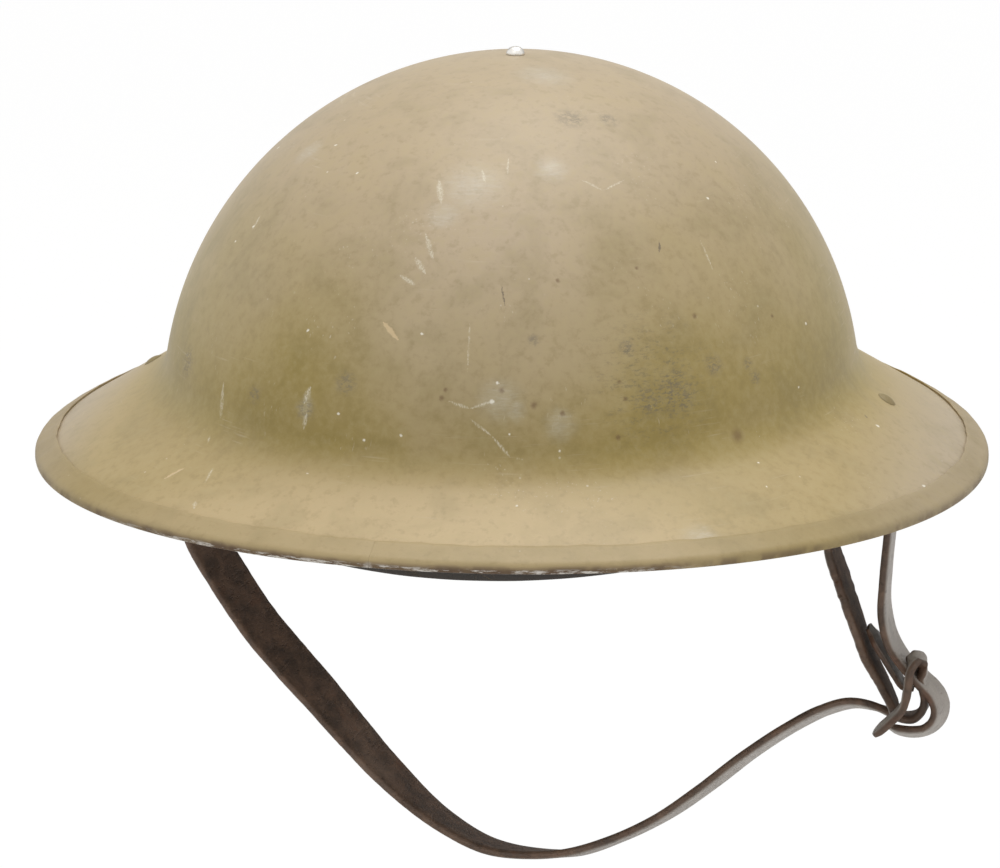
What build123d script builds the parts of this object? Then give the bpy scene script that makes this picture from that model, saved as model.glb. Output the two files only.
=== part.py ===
from build123d import *
from math import cos, pi, radians, sin, sqrt, tan
import os

# Steel helmet with a leather chin strap. Millimetres, +Z up, +X to the wearer's left, -Y to the front.
# The origin is the middle of the head opening, at the mean height of the rim.

os.makedirs("parts", exist_ok=True)

# Shell: an egg-shaped bowl, pressed from sheet, with a sloping brim
wall = 0.95
dome_radius = 105.6
dome_centre_height = 12.1
dome_long_share = 1.15
rim_half_width = 144.4
rim_half_length = 151.5
rim_side_drop = 0.6
brim_slope = 31.0
brim_long_share = 1.095
root_radius = 15.0
overrun = 10.0

# Rim band: folded edging crimped over the brim's edge
band_thickness = 0.8
band_leg = 6.0
band_joint_gap = 0.4
band_joint_offset = 9.6
band_round = 0.9

# Clearances
fit_gap = 0.3
seat_gap = 0.05
hole_gap = 0.1

# Liner bands around the head
head_half_width = 84.0
head_half_length = 99.0
headband_thickness = 1.8
headband_drop = 17.0
headband_top = 43.0
outer_band_thickness = 1.6
outer_band_bottom = 6.0
outer_band_top = 40.0

# Rubber buffers between the outer band and the bowl
buffer_count = 12
buffer_bottom = 8.0
buffer_top = 38.0
buffer_wall = 2.6
buffer_ease = 0.2

# Harness: two leather straps crossed under the crown
harness_width = 25.0
harness_thickness = 1.6
harness_foot = 20.0
harness_crown_gap = 1.9
harness_rivet_height = 30.0

# Crown pad, washer and net
pad_half_width = 45.0
pad_thickness = 7.0
washer_radius = 8.0
washer_thickness = 1.2
net_cord = 1.6
net_clearance = 1.0
net_rings = 7
net_spokes = 20
net_first_ring = 24.0
net_ring_step = 8.0

# Rivets
crown_head_radius = 3.2
crown_head_height = 2.4
crown_shank_radius = 1.6
crown_tail_radius = 3.2
crown_tail_height = 1.0
lug_head_radius = 3.0
lug_head_height = 0.9
lug_shank_radius = 1.5
lug_tail_radius = 2.2
lug_tail_height = 0.9
small_head_radius = 4.0
small_head_height = 1.2
small_shank_radius = 1.5
small_tail_radius = 3.0
small_tail_height = 0.8
strap_head_radius = 3.2
strap_head_height = 1.1

# Lugs and bails that carry the chin strap
lug_rivet_offset = 114.5
lug_sheet = 1.0
lug_width = 12.0
lug_reach = 7.0
bail_offset = 108.5
bail_height = 15.5
bail_wire = 2.8
bail_radius = 15.0
bail_leg = 6.0
bail_corner = 3.0
bail_running_gap = 0.1
lug_seat_gap = 0.15

# Chin strap
strap_width = 19.0
strap_thickness = 2.5
strap_drop = 130.0
strap_loop_radius = 8.0
strap_loop_gap = 1.1
strap_loop_sections = 8
strap_rivet_reach_share = 0.9605
strap_rivet_drop_share = 0.205
torn_thickness = 1.8
lap_gap = 0.7

# Sizes that follow
slope = radians(brim_slope)
cone_top_height = rim_half_width * tan(slope) - rim_side_drop
inner_radius = dome_radius - wall
crown_height = dome_centre_height + dome_radius
inner_crown = dome_centre_height + inner_radius
headband_half_width = head_half_width + headband_thickness
headband_half_length = head_half_length + headband_thickness
outer_band_half_width = headband_half_width + fit_gap + outer_band_thickness
outer_band_half_length = headband_half_length + fit_gap + outer_band_thickness
harness_crown = inner_crown - harness_crown_gap
harness_half_width = outer_band_half_width + fit_gap + harness_thickness
harness_half_length = outer_band_half_length + fit_gap + harness_thickness
ear_strap_sag = (harness_crown - headband_top) * (1 - sqrt(1 - (harness_width / 2 / harness_half_width) ** 2))
brow_strap_crown = harness_crown - harness_thickness - ear_strap_sag - seat_gap
harness_under = brow_strap_crown - harness_thickness
pad_crown = harness_under - fit_gap
pad_under = pad_crown - pad_thickness
pad_dish = (pad_under - headband_top) * (1 - sqrt(1 - (washer_radius / head_half_width) ** 2))
washer_under = pad_under - pad_dish - seat_gap - washer_thickness
crown_tail_top = washer_under - seat_gap
net_crown = crown_tail_top - crown_tail_height - net_clearance
liner_long_share = head_half_length / head_half_width
bail_centre_height = bail_height - bail_leg
wire_radius = bail_wire / 2


def brim_height(reach):
    """Height of the brim's outer face over the X axis, reach away from the middle"""
    return cone_top_height - reach * tan(slope)


def brim_cone(lift):
    """Solid under the brim's outer face, with that face moved out by lift"""
    peak = cone_top_height + lift / cos(slope)
    foot = brim_height(rim_half_length + 2 * overrun)
    top = brim_height(dome_radius / 2)
    with BuildPart() as cone:
        for height in (foot, top):
            reach = (peak - height) / tan(slope)
            with BuildSketch(Plane.XY.offset(height)):
                Ellipse(reach, reach * brim_long_share)
        loft(ruled=True)
    return cone.part


def bowl(inset):
    """Dome inside the shell's outer face, drawn in by inset: half an egg turned about its long axis"""
    radius = dome_radius - inset
    half_length = dome_radius * dome_long_share - inset
    long_axis = Axis((0, 0, dome_centre_height), (0, 1, 0))
    with BuildPart() as dome:
        with BuildSketch(Plane.XY.offset(dome_centre_height)):
            Ellipse(radius, half_length)
            with Locations((-radius, 0)):
                Rectangle(2 * radius, 2 * half_length, mode=Mode.SUBTRACT)
        revolve(axis=long_axis)
        split(bisect_by=Plane.XY.offset(brim_height(rim_half_length + overrun)))
    return dome.part


def pressed_form(inset):
    """Solid inside the shell's outer face, drawn in by inset, with the rounded root"""
    dome = bowl(inset)
    brim = brim_cone(-inset)
    with BuildPart() as form:
        add(dome)
        add(brim)
        long_edges = form.edges().filter_by(lambda edge: edge.length > pi * dome_radius)
        fillet(long_edges.sort_by(Axis.Z)[-1], root_radius + inset)
    return form.part


def oval_post(half_width, half_length, low, high):
    """Upright elliptical post"""
    with BuildPart() as post:
        with BuildSketch(Plane.XY.offset(low)):
            Ellipse(half_width, half_length)
        extrude(amount=high - low)
    return post.part


def oval_cap(half_width, half_length, base, crown):
    """Upper half of an ellipsoid that stands on the plane at base"""
    with BuildPart() as ball:
        Sphere(1, arc_size1=0, align=(Align.CENTER, Align.CENTER, Align.MIN))
    cap = scale(ball.part, by=(half_width, half_length, crown - base))
    return Pos(0, 0, base) * cap


def rivet(head_radius, head_height, shank_radius, grip, tail_radius, tail_height):
    """Rivet along Z, with the head's seat at zero and the tail below the grip"""
    with BuildPart() as pin:
        with BuildSketch(Plane.XZ):
            with BuildLine():
                TangentArc((0, head_height), (head_radius, 0), tangent=(1, 0))
                Polyline((head_radius, 0), (shank_radius, 0), (shank_radius, -grip), (tail_radius, -grip))
                Polyline((tail_radius, -grip), (tail_radius, -grip - tail_height), (0, -grip - tail_height))
                Line((0, -grip - tail_height), (0, head_height))
            make_face()
        revolve(axis=Axis.Z)
    return pin.part


def shaft(radius, length):
    """Cutting cylinder along Z, as long below its origin as above it"""
    with BuildPart() as post:
        Cylinder(radius, length)
    return post.part


def ribbon(route, width, thickness):
    """Flat strap lofted through one section at each point of its middle line.

    A point of the route is a place, a turn about the route in degrees and a share of the width.
    """
    places = [Vector(*point[0]) for point in route]
    with BuildPart() as strap:
        for index, (place, turn, width_share) in enumerate(route):
            before = places[max(index - 1, 0)]
            after = places[min(index + 1, len(places) - 1)]
            along = (after - before).normalized()
            across = (Vector(0, 1, 0) - along * along.Y).normalized()
            lift = along.cross(across)
            side = across * cos(radians(turn)) + lift * sin(radians(turn))
            with BuildSketch(Plane(origin=place, x_dir=side, z_dir=along)):
                Rectangle(width * width_share, thickness)
        loft(ruled=True)
    return strap.part


# Places of the rivets
lug_seats = {
    hand: Plane(
        origin=(hand * lug_rivet_offset, 0, brim_height(lug_rivet_offset)),
        z_dir=(hand * sin(slope), 0, cos(slope)),
    )
    for hand in (-1, 1)
}
harness_seats = [
    Plane(origin=(harness_half_width, 0, harness_rivet_height), z_dir=(1, 0, 0)),
    Plane(origin=(-harness_half_width, 0, harness_rivet_height), z_dir=(-1, 0, 0)),
    Plane(origin=(0, harness_half_length, harness_rivet_height), z_dir=(0, 1, 0)),
    Plane(origin=(0, -harness_half_length, harness_rivet_height), z_dir=(0, -1, 0)),
]
liner_grip = harness_thickness + outer_band_thickness + headband_thickness + 2 * fit_gap + 4 * seat_gap
harness_holes = [
    seat.location * shaft(small_shank_radius + hole_gap, 2 * (liner_grip + overrun)) for seat in harness_seats
]

# Helmet shell
outer_form = pressed_form(0)
inner_form = pressed_form(wall)
rim_post = oval_post(rim_half_width, rim_half_length, -overrun, crown_height + overrun)
lug_hole = shaft(lug_shank_radius + hole_gap, overrun)
with BuildPart() as helmet_shell:
    add(outer_form)
    add(inner_form, mode=Mode.SUBTRACT)
    add(rim_post, mode=Mode.INTERSECT)
    with Locations((0, 0, crown_height)):
        Cylinder(crown_shank_radius + hole_gap, overrun, mode=Mode.SUBTRACT)
    for seat in lug_seats.values():
        add(seat.location * lug_hole, mode=Mode.SUBTRACT)
helmet_shell.part.label = "helmet_shell"
export_step(helmet_shell.part, "parts/helmet_shell.step")


def edging(out, up, leg):
    """Strip along the brim's edge, out and up past its faces and leg wide"""
    over = brim_cone(up)
    under = brim_cone(-wall - up)
    outer_post = oval_post(rim_half_width + out, rim_half_length + out, -overrun, overrun)
    inner_post = oval_post(rim_half_width - leg, rim_half_length - leg, -overrun, overrun)
    with BuildPart() as strip:
        add(over)
        add(under, mode=Mode.SUBTRACT)
        add(outer_post, mode=Mode.INTERSECT)
        add(inner_post, mode=Mode.SUBTRACT)
    return strip.part


# Rim band, open at its butt joint at the front
rim_girth = pi * (rim_half_width + rim_half_length)
band_blank = edging(band_thickness, band_thickness, band_leg)
brim_edge = edging(seat_gap, seat_gap, band_leg + overrun)
with BuildPart() as rim_band:
    add(band_blank)
    fillet(rim_band.edges().filter_by(lambda edge: edge.length > rim_girth - band_leg), band_round)
    add(brim_edge, mode=Mode.SUBTRACT)
    with Locations((-band_joint_offset, -rim_half_length, 0)):
        Box(band_joint_gap, 2 * (band_leg + overrun), 2 * overrun, mode=Mode.SUBTRACT)
rim_band.part.label = "rim_band"
export_step(rim_band.part, "parts/rim_band.step")

# Liner bands
with BuildPart() as headband:
    with BuildSketch(Plane.XY.offset(-headband_drop)):
        Ellipse(headband_half_width, headband_half_length)
        Ellipse(head_half_width, head_half_length, mode=Mode.SUBTRACT)
    extrude(amount=headband_drop + headband_top)
    for hole in harness_holes:
        add(hole, mode=Mode.SUBTRACT)
headband.part.label = "headband"
export_step(headband.part, "parts/headband.step")

with BuildPart() as outer_band:
    with BuildSketch(Plane.XY.offset(outer_band_bottom)):
        Ellipse(outer_band_half_width, outer_band_half_length)
        Ellipse(headband_half_width + fit_gap, headband_half_length + fit_gap, mode=Mode.SUBTRACT)
    extrude(amount=outer_band_top - outer_band_bottom)
    for hole in harness_holes:
        add(hole, mode=Mode.SUBTRACT)
outer_band.part.label = "outer_band"
export_step(outer_band.part, "parts/outer_band.step")

# Rubber buffers, as thick as the room between the band and the bowl at their top
bowl_at_buffer_top = sqrt(inner_radius**2 - (buffer_top - dome_centre_height) ** 2)
buffer_diameter = bowl_at_buffer_top - outer_band_half_width - 2 * fit_gap - buffer_ease
buffer_radius = buffer_diameter / 2
with BuildPart() as rubber_buffers:
    for index in range(buffer_count):
        turn = 2 * pi * (index + 1 / 2) / buffer_count
        normal = Vector(outer_band_half_length * cos(turn), outer_band_half_width * sin(turn)).normalized()
        seat = Vector(outer_band_half_width * cos(turn), outer_band_half_length * sin(turn))
        middle = seat + normal * (buffer_radius + fit_gap)
        with BuildSketch(Plane.XY.offset(buffer_bottom)):
            with Locations((middle.X, middle.Y)):
                Circle(buffer_radius)
                Circle(buffer_radius - buffer_wall, mode=Mode.SUBTRACT)
        extrude(amount=buffer_top - buffer_bottom)
rubber_buffers.part.label = "rubber_buffers"
export_step(rubber_buffers.part, "parts/rubber_buffers.step")


def harness_strap(plane, half_span, crown):
    """Strap that arches over the head, with its two feet outside the outer band"""
    with BuildPart() as strap:
        with BuildSketch(plane):
            for inset, mode in ((0, Mode.ADD), (harness_thickness, Mode.SUBTRACT)):
                reach = half_span - inset
                with BuildLine():
                    EllipticalCenterArc((0, headband_top), reach, crown - inset - headband_top, arc_size=180)
                    Polyline((-reach, headband_top), (-reach, harness_foot), (reach, harness_foot))
                    Line((reach, harness_foot), (reach, headband_top))
                make_face(mode=mode)
        extrude(amount=harness_width / 2, both=True)
        for hole in harness_holes:
            add(hole, mode=Mode.SUBTRACT)
        Cylinder(crown_shank_radius + hole_gap, 2 * crown, mode=Mode.SUBTRACT)
    return strap.part


# Harness: the strap over the ears lies on the strap from front to back
ear_strap = harness_strap(Plane.XZ, harness_half_width, harness_crown)
brow_strap = harness_strap(Plane.YZ, harness_half_length, brow_strap_crown)
with BuildPart() as harness_straps:
    add(ear_strap)
    add(brow_strap)
harness_straps.part.label = "harness_straps"
export_step(harness_straps.part, "parts/harness_straps.step")

harness_rivet = rivet(
    small_head_radius, small_head_height, small_shank_radius, liner_grip, small_tail_radius, small_tail_height
)
with BuildPart() as harness_rivets:
    for seat in harness_seats:
        add(seat.offset(seat_gap).location * harness_rivet)
harness_rivets.part.label = "harness_rivets"
export_step(harness_rivets.part, "parts/harness_rivets.step")

# Crown pad: a dished disc of felt
pad_over = oval_cap(head_half_width, head_half_length, headband_top, pad_crown)
pad_hollow = oval_cap(head_half_width, head_half_length, headband_top, pad_under)
pad_post = oval_post(pad_half_width, pad_half_width * liner_long_share, headband_top, crown_height)
with BuildPart() as crown_pad:
    add(pad_over)
    add(pad_hollow, mode=Mode.SUBTRACT)
    add(pad_post, mode=Mode.INTERSECT)
    Cylinder(crown_shank_radius + hole_gap, 2 * crown_height, mode=Mode.SUBTRACT)
crown_pad.part.label = "crown_pad"
export_step(crown_pad.part, "parts/crown_pad.step")

with BuildPart() as crown_washer:
    with BuildSketch(Plane.XY.offset(washer_under)):
        Circle(washer_radius)
        Circle(crown_shank_radius + hole_gap, mode=Mode.SUBTRACT)
    extrude(amount=washer_thickness)
crown_washer.part.label = "crown_washer"
export_step(crown_washer.part, "parts/crown_washer.step")

crown_seat_height = crown_height + seat_gap
crown_pin = rivet(
    crown_head_radius,
    crown_head_height,
    crown_shank_radius,
    crown_seat_height - crown_tail_top,
    crown_tail_radius,
    crown_tail_height,
)
with BuildPart() as crown_rivet:
    add(Pos(0, 0, crown_seat_height) * crown_pin)
crown_rivet.part.label = "crown_rivet"
export_step(crown_rivet.part, "parts/crown_rivet.step")

# Twine net: a dome with rings of diamond gaps that stand between each other
net_half_width = head_half_width + net_cord
net_half_length = head_half_length + net_cord


def net_gap(ring, spoke):
    """Corners of one diamond, on the oval plan of the net"""
    middle = net_first_ring + ring * net_ring_step
    turn = 2 * pi * (spoke + (ring % 2) / 2) / net_spokes
    swing = pi / net_spokes - net_cord / middle / sqrt(2)
    reach = net_ring_step - net_cord
    corners = ((middle + reach, turn), (middle, turn + swing), (middle - reach, turn), (middle, turn - swing))
    return [(radius * cos(angle), radius * liner_long_share * sin(angle)) for radius, angle in corners]


net_over = oval_cap(net_half_width, net_half_length, headband_top, net_crown)
net_hollow = oval_cap(head_half_width, head_half_length, headband_top, net_crown - net_cord)
with BuildPart() as twine_net:
    with BuildSketch(Plane.XY.offset(headband_top)):
        Ellipse(net_half_width + overrun, net_half_length + overrun)
        for ring in range(net_rings):
            for spoke in range(net_spokes):
                with BuildLine():
                    Polyline(*net_gap(ring, spoke), close=True)
                make_face(mode=Mode.SUBTRACT)
    extrude(amount=net_crown - headband_top)
    add(net_over, mode=Mode.INTERSECT)
    add(net_hollow, mode=Mode.SUBTRACT)
twine_net.part.label = "twine_net"
export_step(twine_net.part, "parts/twine_net.step")


def lug(hand):
    """Folded sheet under the brim, curled into an eye round the bail's top bar"""
    sheet_drop = (wall + lug_seat_gap + lug_sheet / 2) / cos(slope)
    eye_inner = wire_radius + bail_running_gap
    eye_middle = eye_inner + lug_sheet / 2
    outer_end = lug_rivet_offset + lug_reach
    inner_end = bail_offset + eye_middle + lug_sheet
    with BuildPart() as piece:
        with BuildSketch(Plane.XZ):
            with BuildLine():
                Polyline(
                    (hand * outer_end, brim_height(outer_end) - sheet_drop),
                    (hand * inner_end, brim_height(inner_end) - sheet_drop),
                    (hand * bail_offset, bail_height + eye_middle),
                )
            trace(line_width=lug_sheet)
            with Locations((hand * bail_offset, bail_height)):
                Circle(eye_inner + lug_sheet)
                Circle(eye_inner, mode=Mode.SUBTRACT)
        extrude(amount=lug_width / 2, both=True)
        add(lug_seats[hand].location * lug_hole, mode=Mode.SUBTRACT)
    return piece.part


def bail(hand):
    """Wire loop: a half ring, two legs and the bar that turns in the lug"""
    leg_top = bail_height - bail_corner
    bar_end = bail_radius - bail_corner
    with BuildPart() as piece:
        with BuildLine(Plane.YZ.offset(hand * bail_offset)):
            CenterArc((0, bail_centre_height), bail_radius, 180, 180)
            Line((bail_radius, bail_centre_height), (bail_radius, leg_top))
            CenterArc((bar_end, leg_top), bail_corner, 0, 90)
            Line((bar_end, bail_height), (-bar_end, bail_height))
            CenterArc((-bar_end, leg_top), bail_corner, 90, 90)
            Line((-bail_radius, leg_top), (-bail_radius, bail_centre_height))
        start = Plane(origin=(hand * bail_offset, -bail_radius, bail_centre_height))
        with BuildSketch(start):
            Circle(wire_radius)
        sweep()
    return piece.part


lug_grip = wall + lug_sheet + lug_seat_gap + 4 * seat_gap
lug_pin = rivet(lug_head_radius, lug_head_height, lug_shank_radius, lug_grip, lug_tail_radius, lug_tail_height)
for side_name, hand in (("left", -1), ("right", 1)):
    side_lug = lug(hand)
    side_lug.label = side_name + "_lug"
    export_step(side_lug, "parts/" + side_name + "_lug.step")
    side_rivet = lug_seats[hand].offset(seat_gap).location * lug_pin
    side_rivet.label = side_name + "_lug_rivet"
    export_step(side_rivet, "parts/" + side_name + "_lug_rivet.step")
    side_bail = bail(hand)
    side_bail.label = side_name + "_bail"
    export_step(side_bail, "parts/" + side_name + "_bail.step")

# Loops of the strap hang on the bails by their edges
bail_sag = sqrt(bail_radius**2 - (strap_width / 2) ** 2)
wire_rise = wire_radius * bail_radius / bail_sag
loop_inner_top = bail_centre_height - bail_sag + wire_rise + strap_loop_gap
loop_centre_height = loop_inner_top + strap_thickness / 2 - strap_loop_radius


def over_bail(hand):
    """Places of the strap's middle line over a bail, from its inner side to its outer side along +X"""
    turns = [180 * (1 - step / strap_loop_sections) for step in range(strap_loop_sections + 1)]
    return [
        (
            (
                hand * bail_offset + strap_loop_radius * cos(radians(turn)),
                0,
                loop_centre_height + strap_loop_radius * sin(radians(turn)),
            ),
            0,
            1,
        )
        for turn in turns
    ]


def route_places(shares):
    """Places from shares of the bail's offset and the strap's drop, with the turn and the width's share"""
    return [
        ((x * bail_offset, y * strap_drop, -z * strap_drop), turn, width_share)
        for x, y, z, turn, width_share in shares
    ]


# Left loop: the end of the strap comes back and is riveted to it
lap_shares = [
    (-0.9705, 0, 0.239, 10, 1),
    (-0.9770, 0, 0.185, 6, 1),
    (-1.0046, 0, 0.135, 2, 1),
    (-1.0507, 0, 0.087, 0, 1),
]
left_run_shares = [
    (-0.9327, 0, 0.108, 0, 1),
    (-0.9475, 0, 0.169, 5, 1),
    (-0.9410, 0, 0.231, 9, 1),
    (-0.9190, 0, 0.286, 15, 1),
    (-0.8912, 0, 0.330, 18, 1),
    (-0.8470, 0, 0.389, 18, 1),
    (-0.7272, -0.008, 0.526, 17, 1),
    (-0.5659, -0.018, 0.669, 15, 1),
    (-0.4461, -0.026, 0.778, 10, 1),
    (-0.3373, -0.034, 0.868, 5, 1),
    (-0.1797, -0.040, 0.972, -6, 1),
    (-0.0581, -0.040, 1.022, -11, 1),
    (0.0866, -0.040, 1.034, -17, 1),
    (0.1806, -0.040, 1.026, -20, 1),
    (0.3244, -0.032, 0.981, -18, 1),
    (0.4488, -0.018, 0.924, -17, 1),
    (0.5724, -0.004, 0.845, -17, 1),
    (0.6940, 0.010, 0.758, -17, 1),
    (0.8175, 0.022, 0.683, -18, 1),
    (0.9014, 0.028, 0.642, -20, 0.95),
    (0.9834, 0.034, 0.621, -22, 0.85),
    (1.0500, 0.038, 0.629, -20, 0.75),
]
knot_shares = [
    (1.0885, 0.040, 0.640, -16, 0.7),
    (1.1240, 0.040, 0.649, -12, 0.7),
    (1.1600, 0.038, 0.644, -8, 0.68),
    (1.1830, 0.032, 0.618, -4, 0.64),
    (1.1880, 0.022, 0.583, 0, 0.6),
    (1.1820, 0.008, 0.549, 0, 0.56),
    (1.1790, -0.008, 0.518, 0, 0.52),
    (1.1780, -0.026, 0.494, 0, 0.48),
    (1.1660, -0.046, 0.482, 0, 0.44),
    (1.1530, -0.064, 0.499, 0, 0.42),
    (1.1480, -0.076, 0.535, 0, 0.42),
    (1.1382, -0.080, 0.582, 0, 0.42),
    (1.0995, -0.080, 0.622, 0, 0.42),
    (1.0600, -0.078, 0.655, 0, 0.42),
]
strap_route = (
    route_places(lap_shares)
    + over_bail(-1)
    + route_places(left_run_shares)
    + route_places(knot_shares)
)
chin_strap = ribbon(strap_route, strap_width, strap_thickness)
chin_strap.label = "chin_strap"
export_step(chin_strap, "parts/chin_strap.step")

# Rivet through both thicknesses of the left loop's end
strap_rivet_grip = 2 * strap_thickness + lap_gap
strap_rivet_place = Vector(-strap_rivet_reach_share * bail_offset, 0, -strap_rivet_drop_share * strap_drop)
strap_rivet_seat = Plane(origin=strap_rivet_place, x_dir=(0, 1, 0), z_dir=(-1, 0, 0))
strap_pin = rivet(
    strap_head_radius, strap_head_height, small_shank_radius, strap_rivet_grip, strap_head_radius, strap_head_height
)
strap_rivet = strap_rivet_seat.location * strap_pin
strap_rivet.label = "strap_rivet"
export_step(strap_rivet, "parts/strap_rivet.step")

# Loop of strap over the right bail, tied into the knot
loop_left_shares = [
    (1.1150, 0.0, 0.640, 0, 0.5),
    (1.0968, 0, 0.601, 0, 0.55),
    (1.0636, 0, 0.545, 0, 0.65),
    (1.0249, 0, 0.488, 0, 0.8),
    (0.9954, 0, 0.421, 0, 0.9),
    (0.9475, 0, 0.311, 0, 1),
    (0.9124, 0, 0.225, 0, 1),
    (0.9090, 0, 0.138, 0, 1),
]
loop_right_shares = [
    (1.0802, 0, 0.123, 0, 1),
    (1.0765, 0, 0.177, 0, 1),
    (1.0682, 0, 0.287, 0, 1),
    (1.0682, 0, 0.380, 0, 1),
    (1.0922, 0, 0.452, 0, 0.9),
    (1.1364, 0, 0.506, 0, 0.8),
    (1.1780, 0.003, 0.541, 4, 0.72),
    (1.2120, 0.008, 0.570, 8, 0.68),
    (1.2310, 0.012, 0.606, 14, 0.66),
    (1.2240, 0.016, 0.642, 18, 0.66),
    (1.1960, 0.018, 0.668, 22, 0.66),
    (1.1600, 0.018, 0.677, 25, 0.66),
    (1.1240, 0.018, 0.676, 25, 0.6),
    (1.0900, 0.016, 0.666, 22, 0.5),
]
loop_route = route_places(loop_left_shares) + over_bail(1) + route_places(loop_right_shares)
strap_loop = ribbon(loop_route, strap_width, strap_thickness)
strap_loop.label = "strap_loop"
export_step(strap_loop, "parts/strap_loop.step")

# Torn end of an older layer, caught beside the loop in the knot
torn_shares = [
    (1.0240, 0, 0.418, 0, 0.5),
    (1.0470, 0, 0.450, 0, 0.6),
    (1.0740, 0, 0.486, 0, 0.6),
    (1.1030, 0, 0.525, 0, 0.5),
    (1.1300, 0, 0.556, 0, 0.4),
    (1.1580, 0, 0.562, 0, 0.4),
]
torn_layer = ribbon(route_places(torn_shares), strap_width, torn_thickness)
torn_layer.label = "torn_layer"
export_step(torn_layer, "parts/torn_layer.step")
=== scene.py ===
from math import acos, atan, cos, hypot, pi, radians, sin, sqrt, tan

import bmesh
import bpy
import numpy as np
from mathutils import Matrix, Vector, noise


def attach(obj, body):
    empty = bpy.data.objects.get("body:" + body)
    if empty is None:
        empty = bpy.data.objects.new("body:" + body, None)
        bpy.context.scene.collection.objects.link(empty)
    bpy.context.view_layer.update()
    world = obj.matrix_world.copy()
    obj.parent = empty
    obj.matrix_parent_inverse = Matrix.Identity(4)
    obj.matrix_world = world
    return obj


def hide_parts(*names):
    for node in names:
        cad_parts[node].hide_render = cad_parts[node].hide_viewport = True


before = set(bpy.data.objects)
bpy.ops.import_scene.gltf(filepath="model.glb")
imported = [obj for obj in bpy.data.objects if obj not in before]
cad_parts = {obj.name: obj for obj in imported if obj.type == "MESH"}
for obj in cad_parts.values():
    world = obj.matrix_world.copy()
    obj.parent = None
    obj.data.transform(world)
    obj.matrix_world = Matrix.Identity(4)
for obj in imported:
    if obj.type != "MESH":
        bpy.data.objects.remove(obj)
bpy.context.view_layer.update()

camera_turn, camera_lift, camera_roll = radians(11.2), radians(14.71), radians(0.35)
camera_distance, aim_height = 1.2, 0.0001
level = Vector((cos(camera_turn), sin(camera_turn), 0))
ahead = Vector((sin(camera_turn), -cos(camera_turn), 0))
to_camera = ahead * cos(camera_lift) + Vector((0, 0, sin(camera_lift)))
upward = to_camera.cross(level)
camera_right = level * cos(camera_roll) + upward * sin(camera_roll)
camera_up = upward * cos(camera_roll) - level * sin(camera_roll)
lens = bpy.data.cameras.new("photo_camera")
lens.sensor_width = 36
lens.lens = 140.58
lens.shift_x = -0.0131
camera = bpy.data.objects.new("photo_camera", lens)
bpy.context.scene.collection.objects.link(camera)
camera_place = Vector((0, 0, aim_height)) + to_camera * camera_distance
camera_axes = Matrix((camera_right, camera_up, to_camera)).transposed().to_4x4()
camera.matrix_world = Matrix.Translation(camera_place) @ camera_axes
bpy.context.scene.camera = camera
bpy.context.scene.view_settings.view_transform = "Standard"

# Floor, backdrop and soft light
# A sweep of pale paper lies well below the strap and curves up behind. It can't be seen from below. The lamps
# are wide soft boxes. The classes that write the finishes and build the meshes are defined here.


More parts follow.
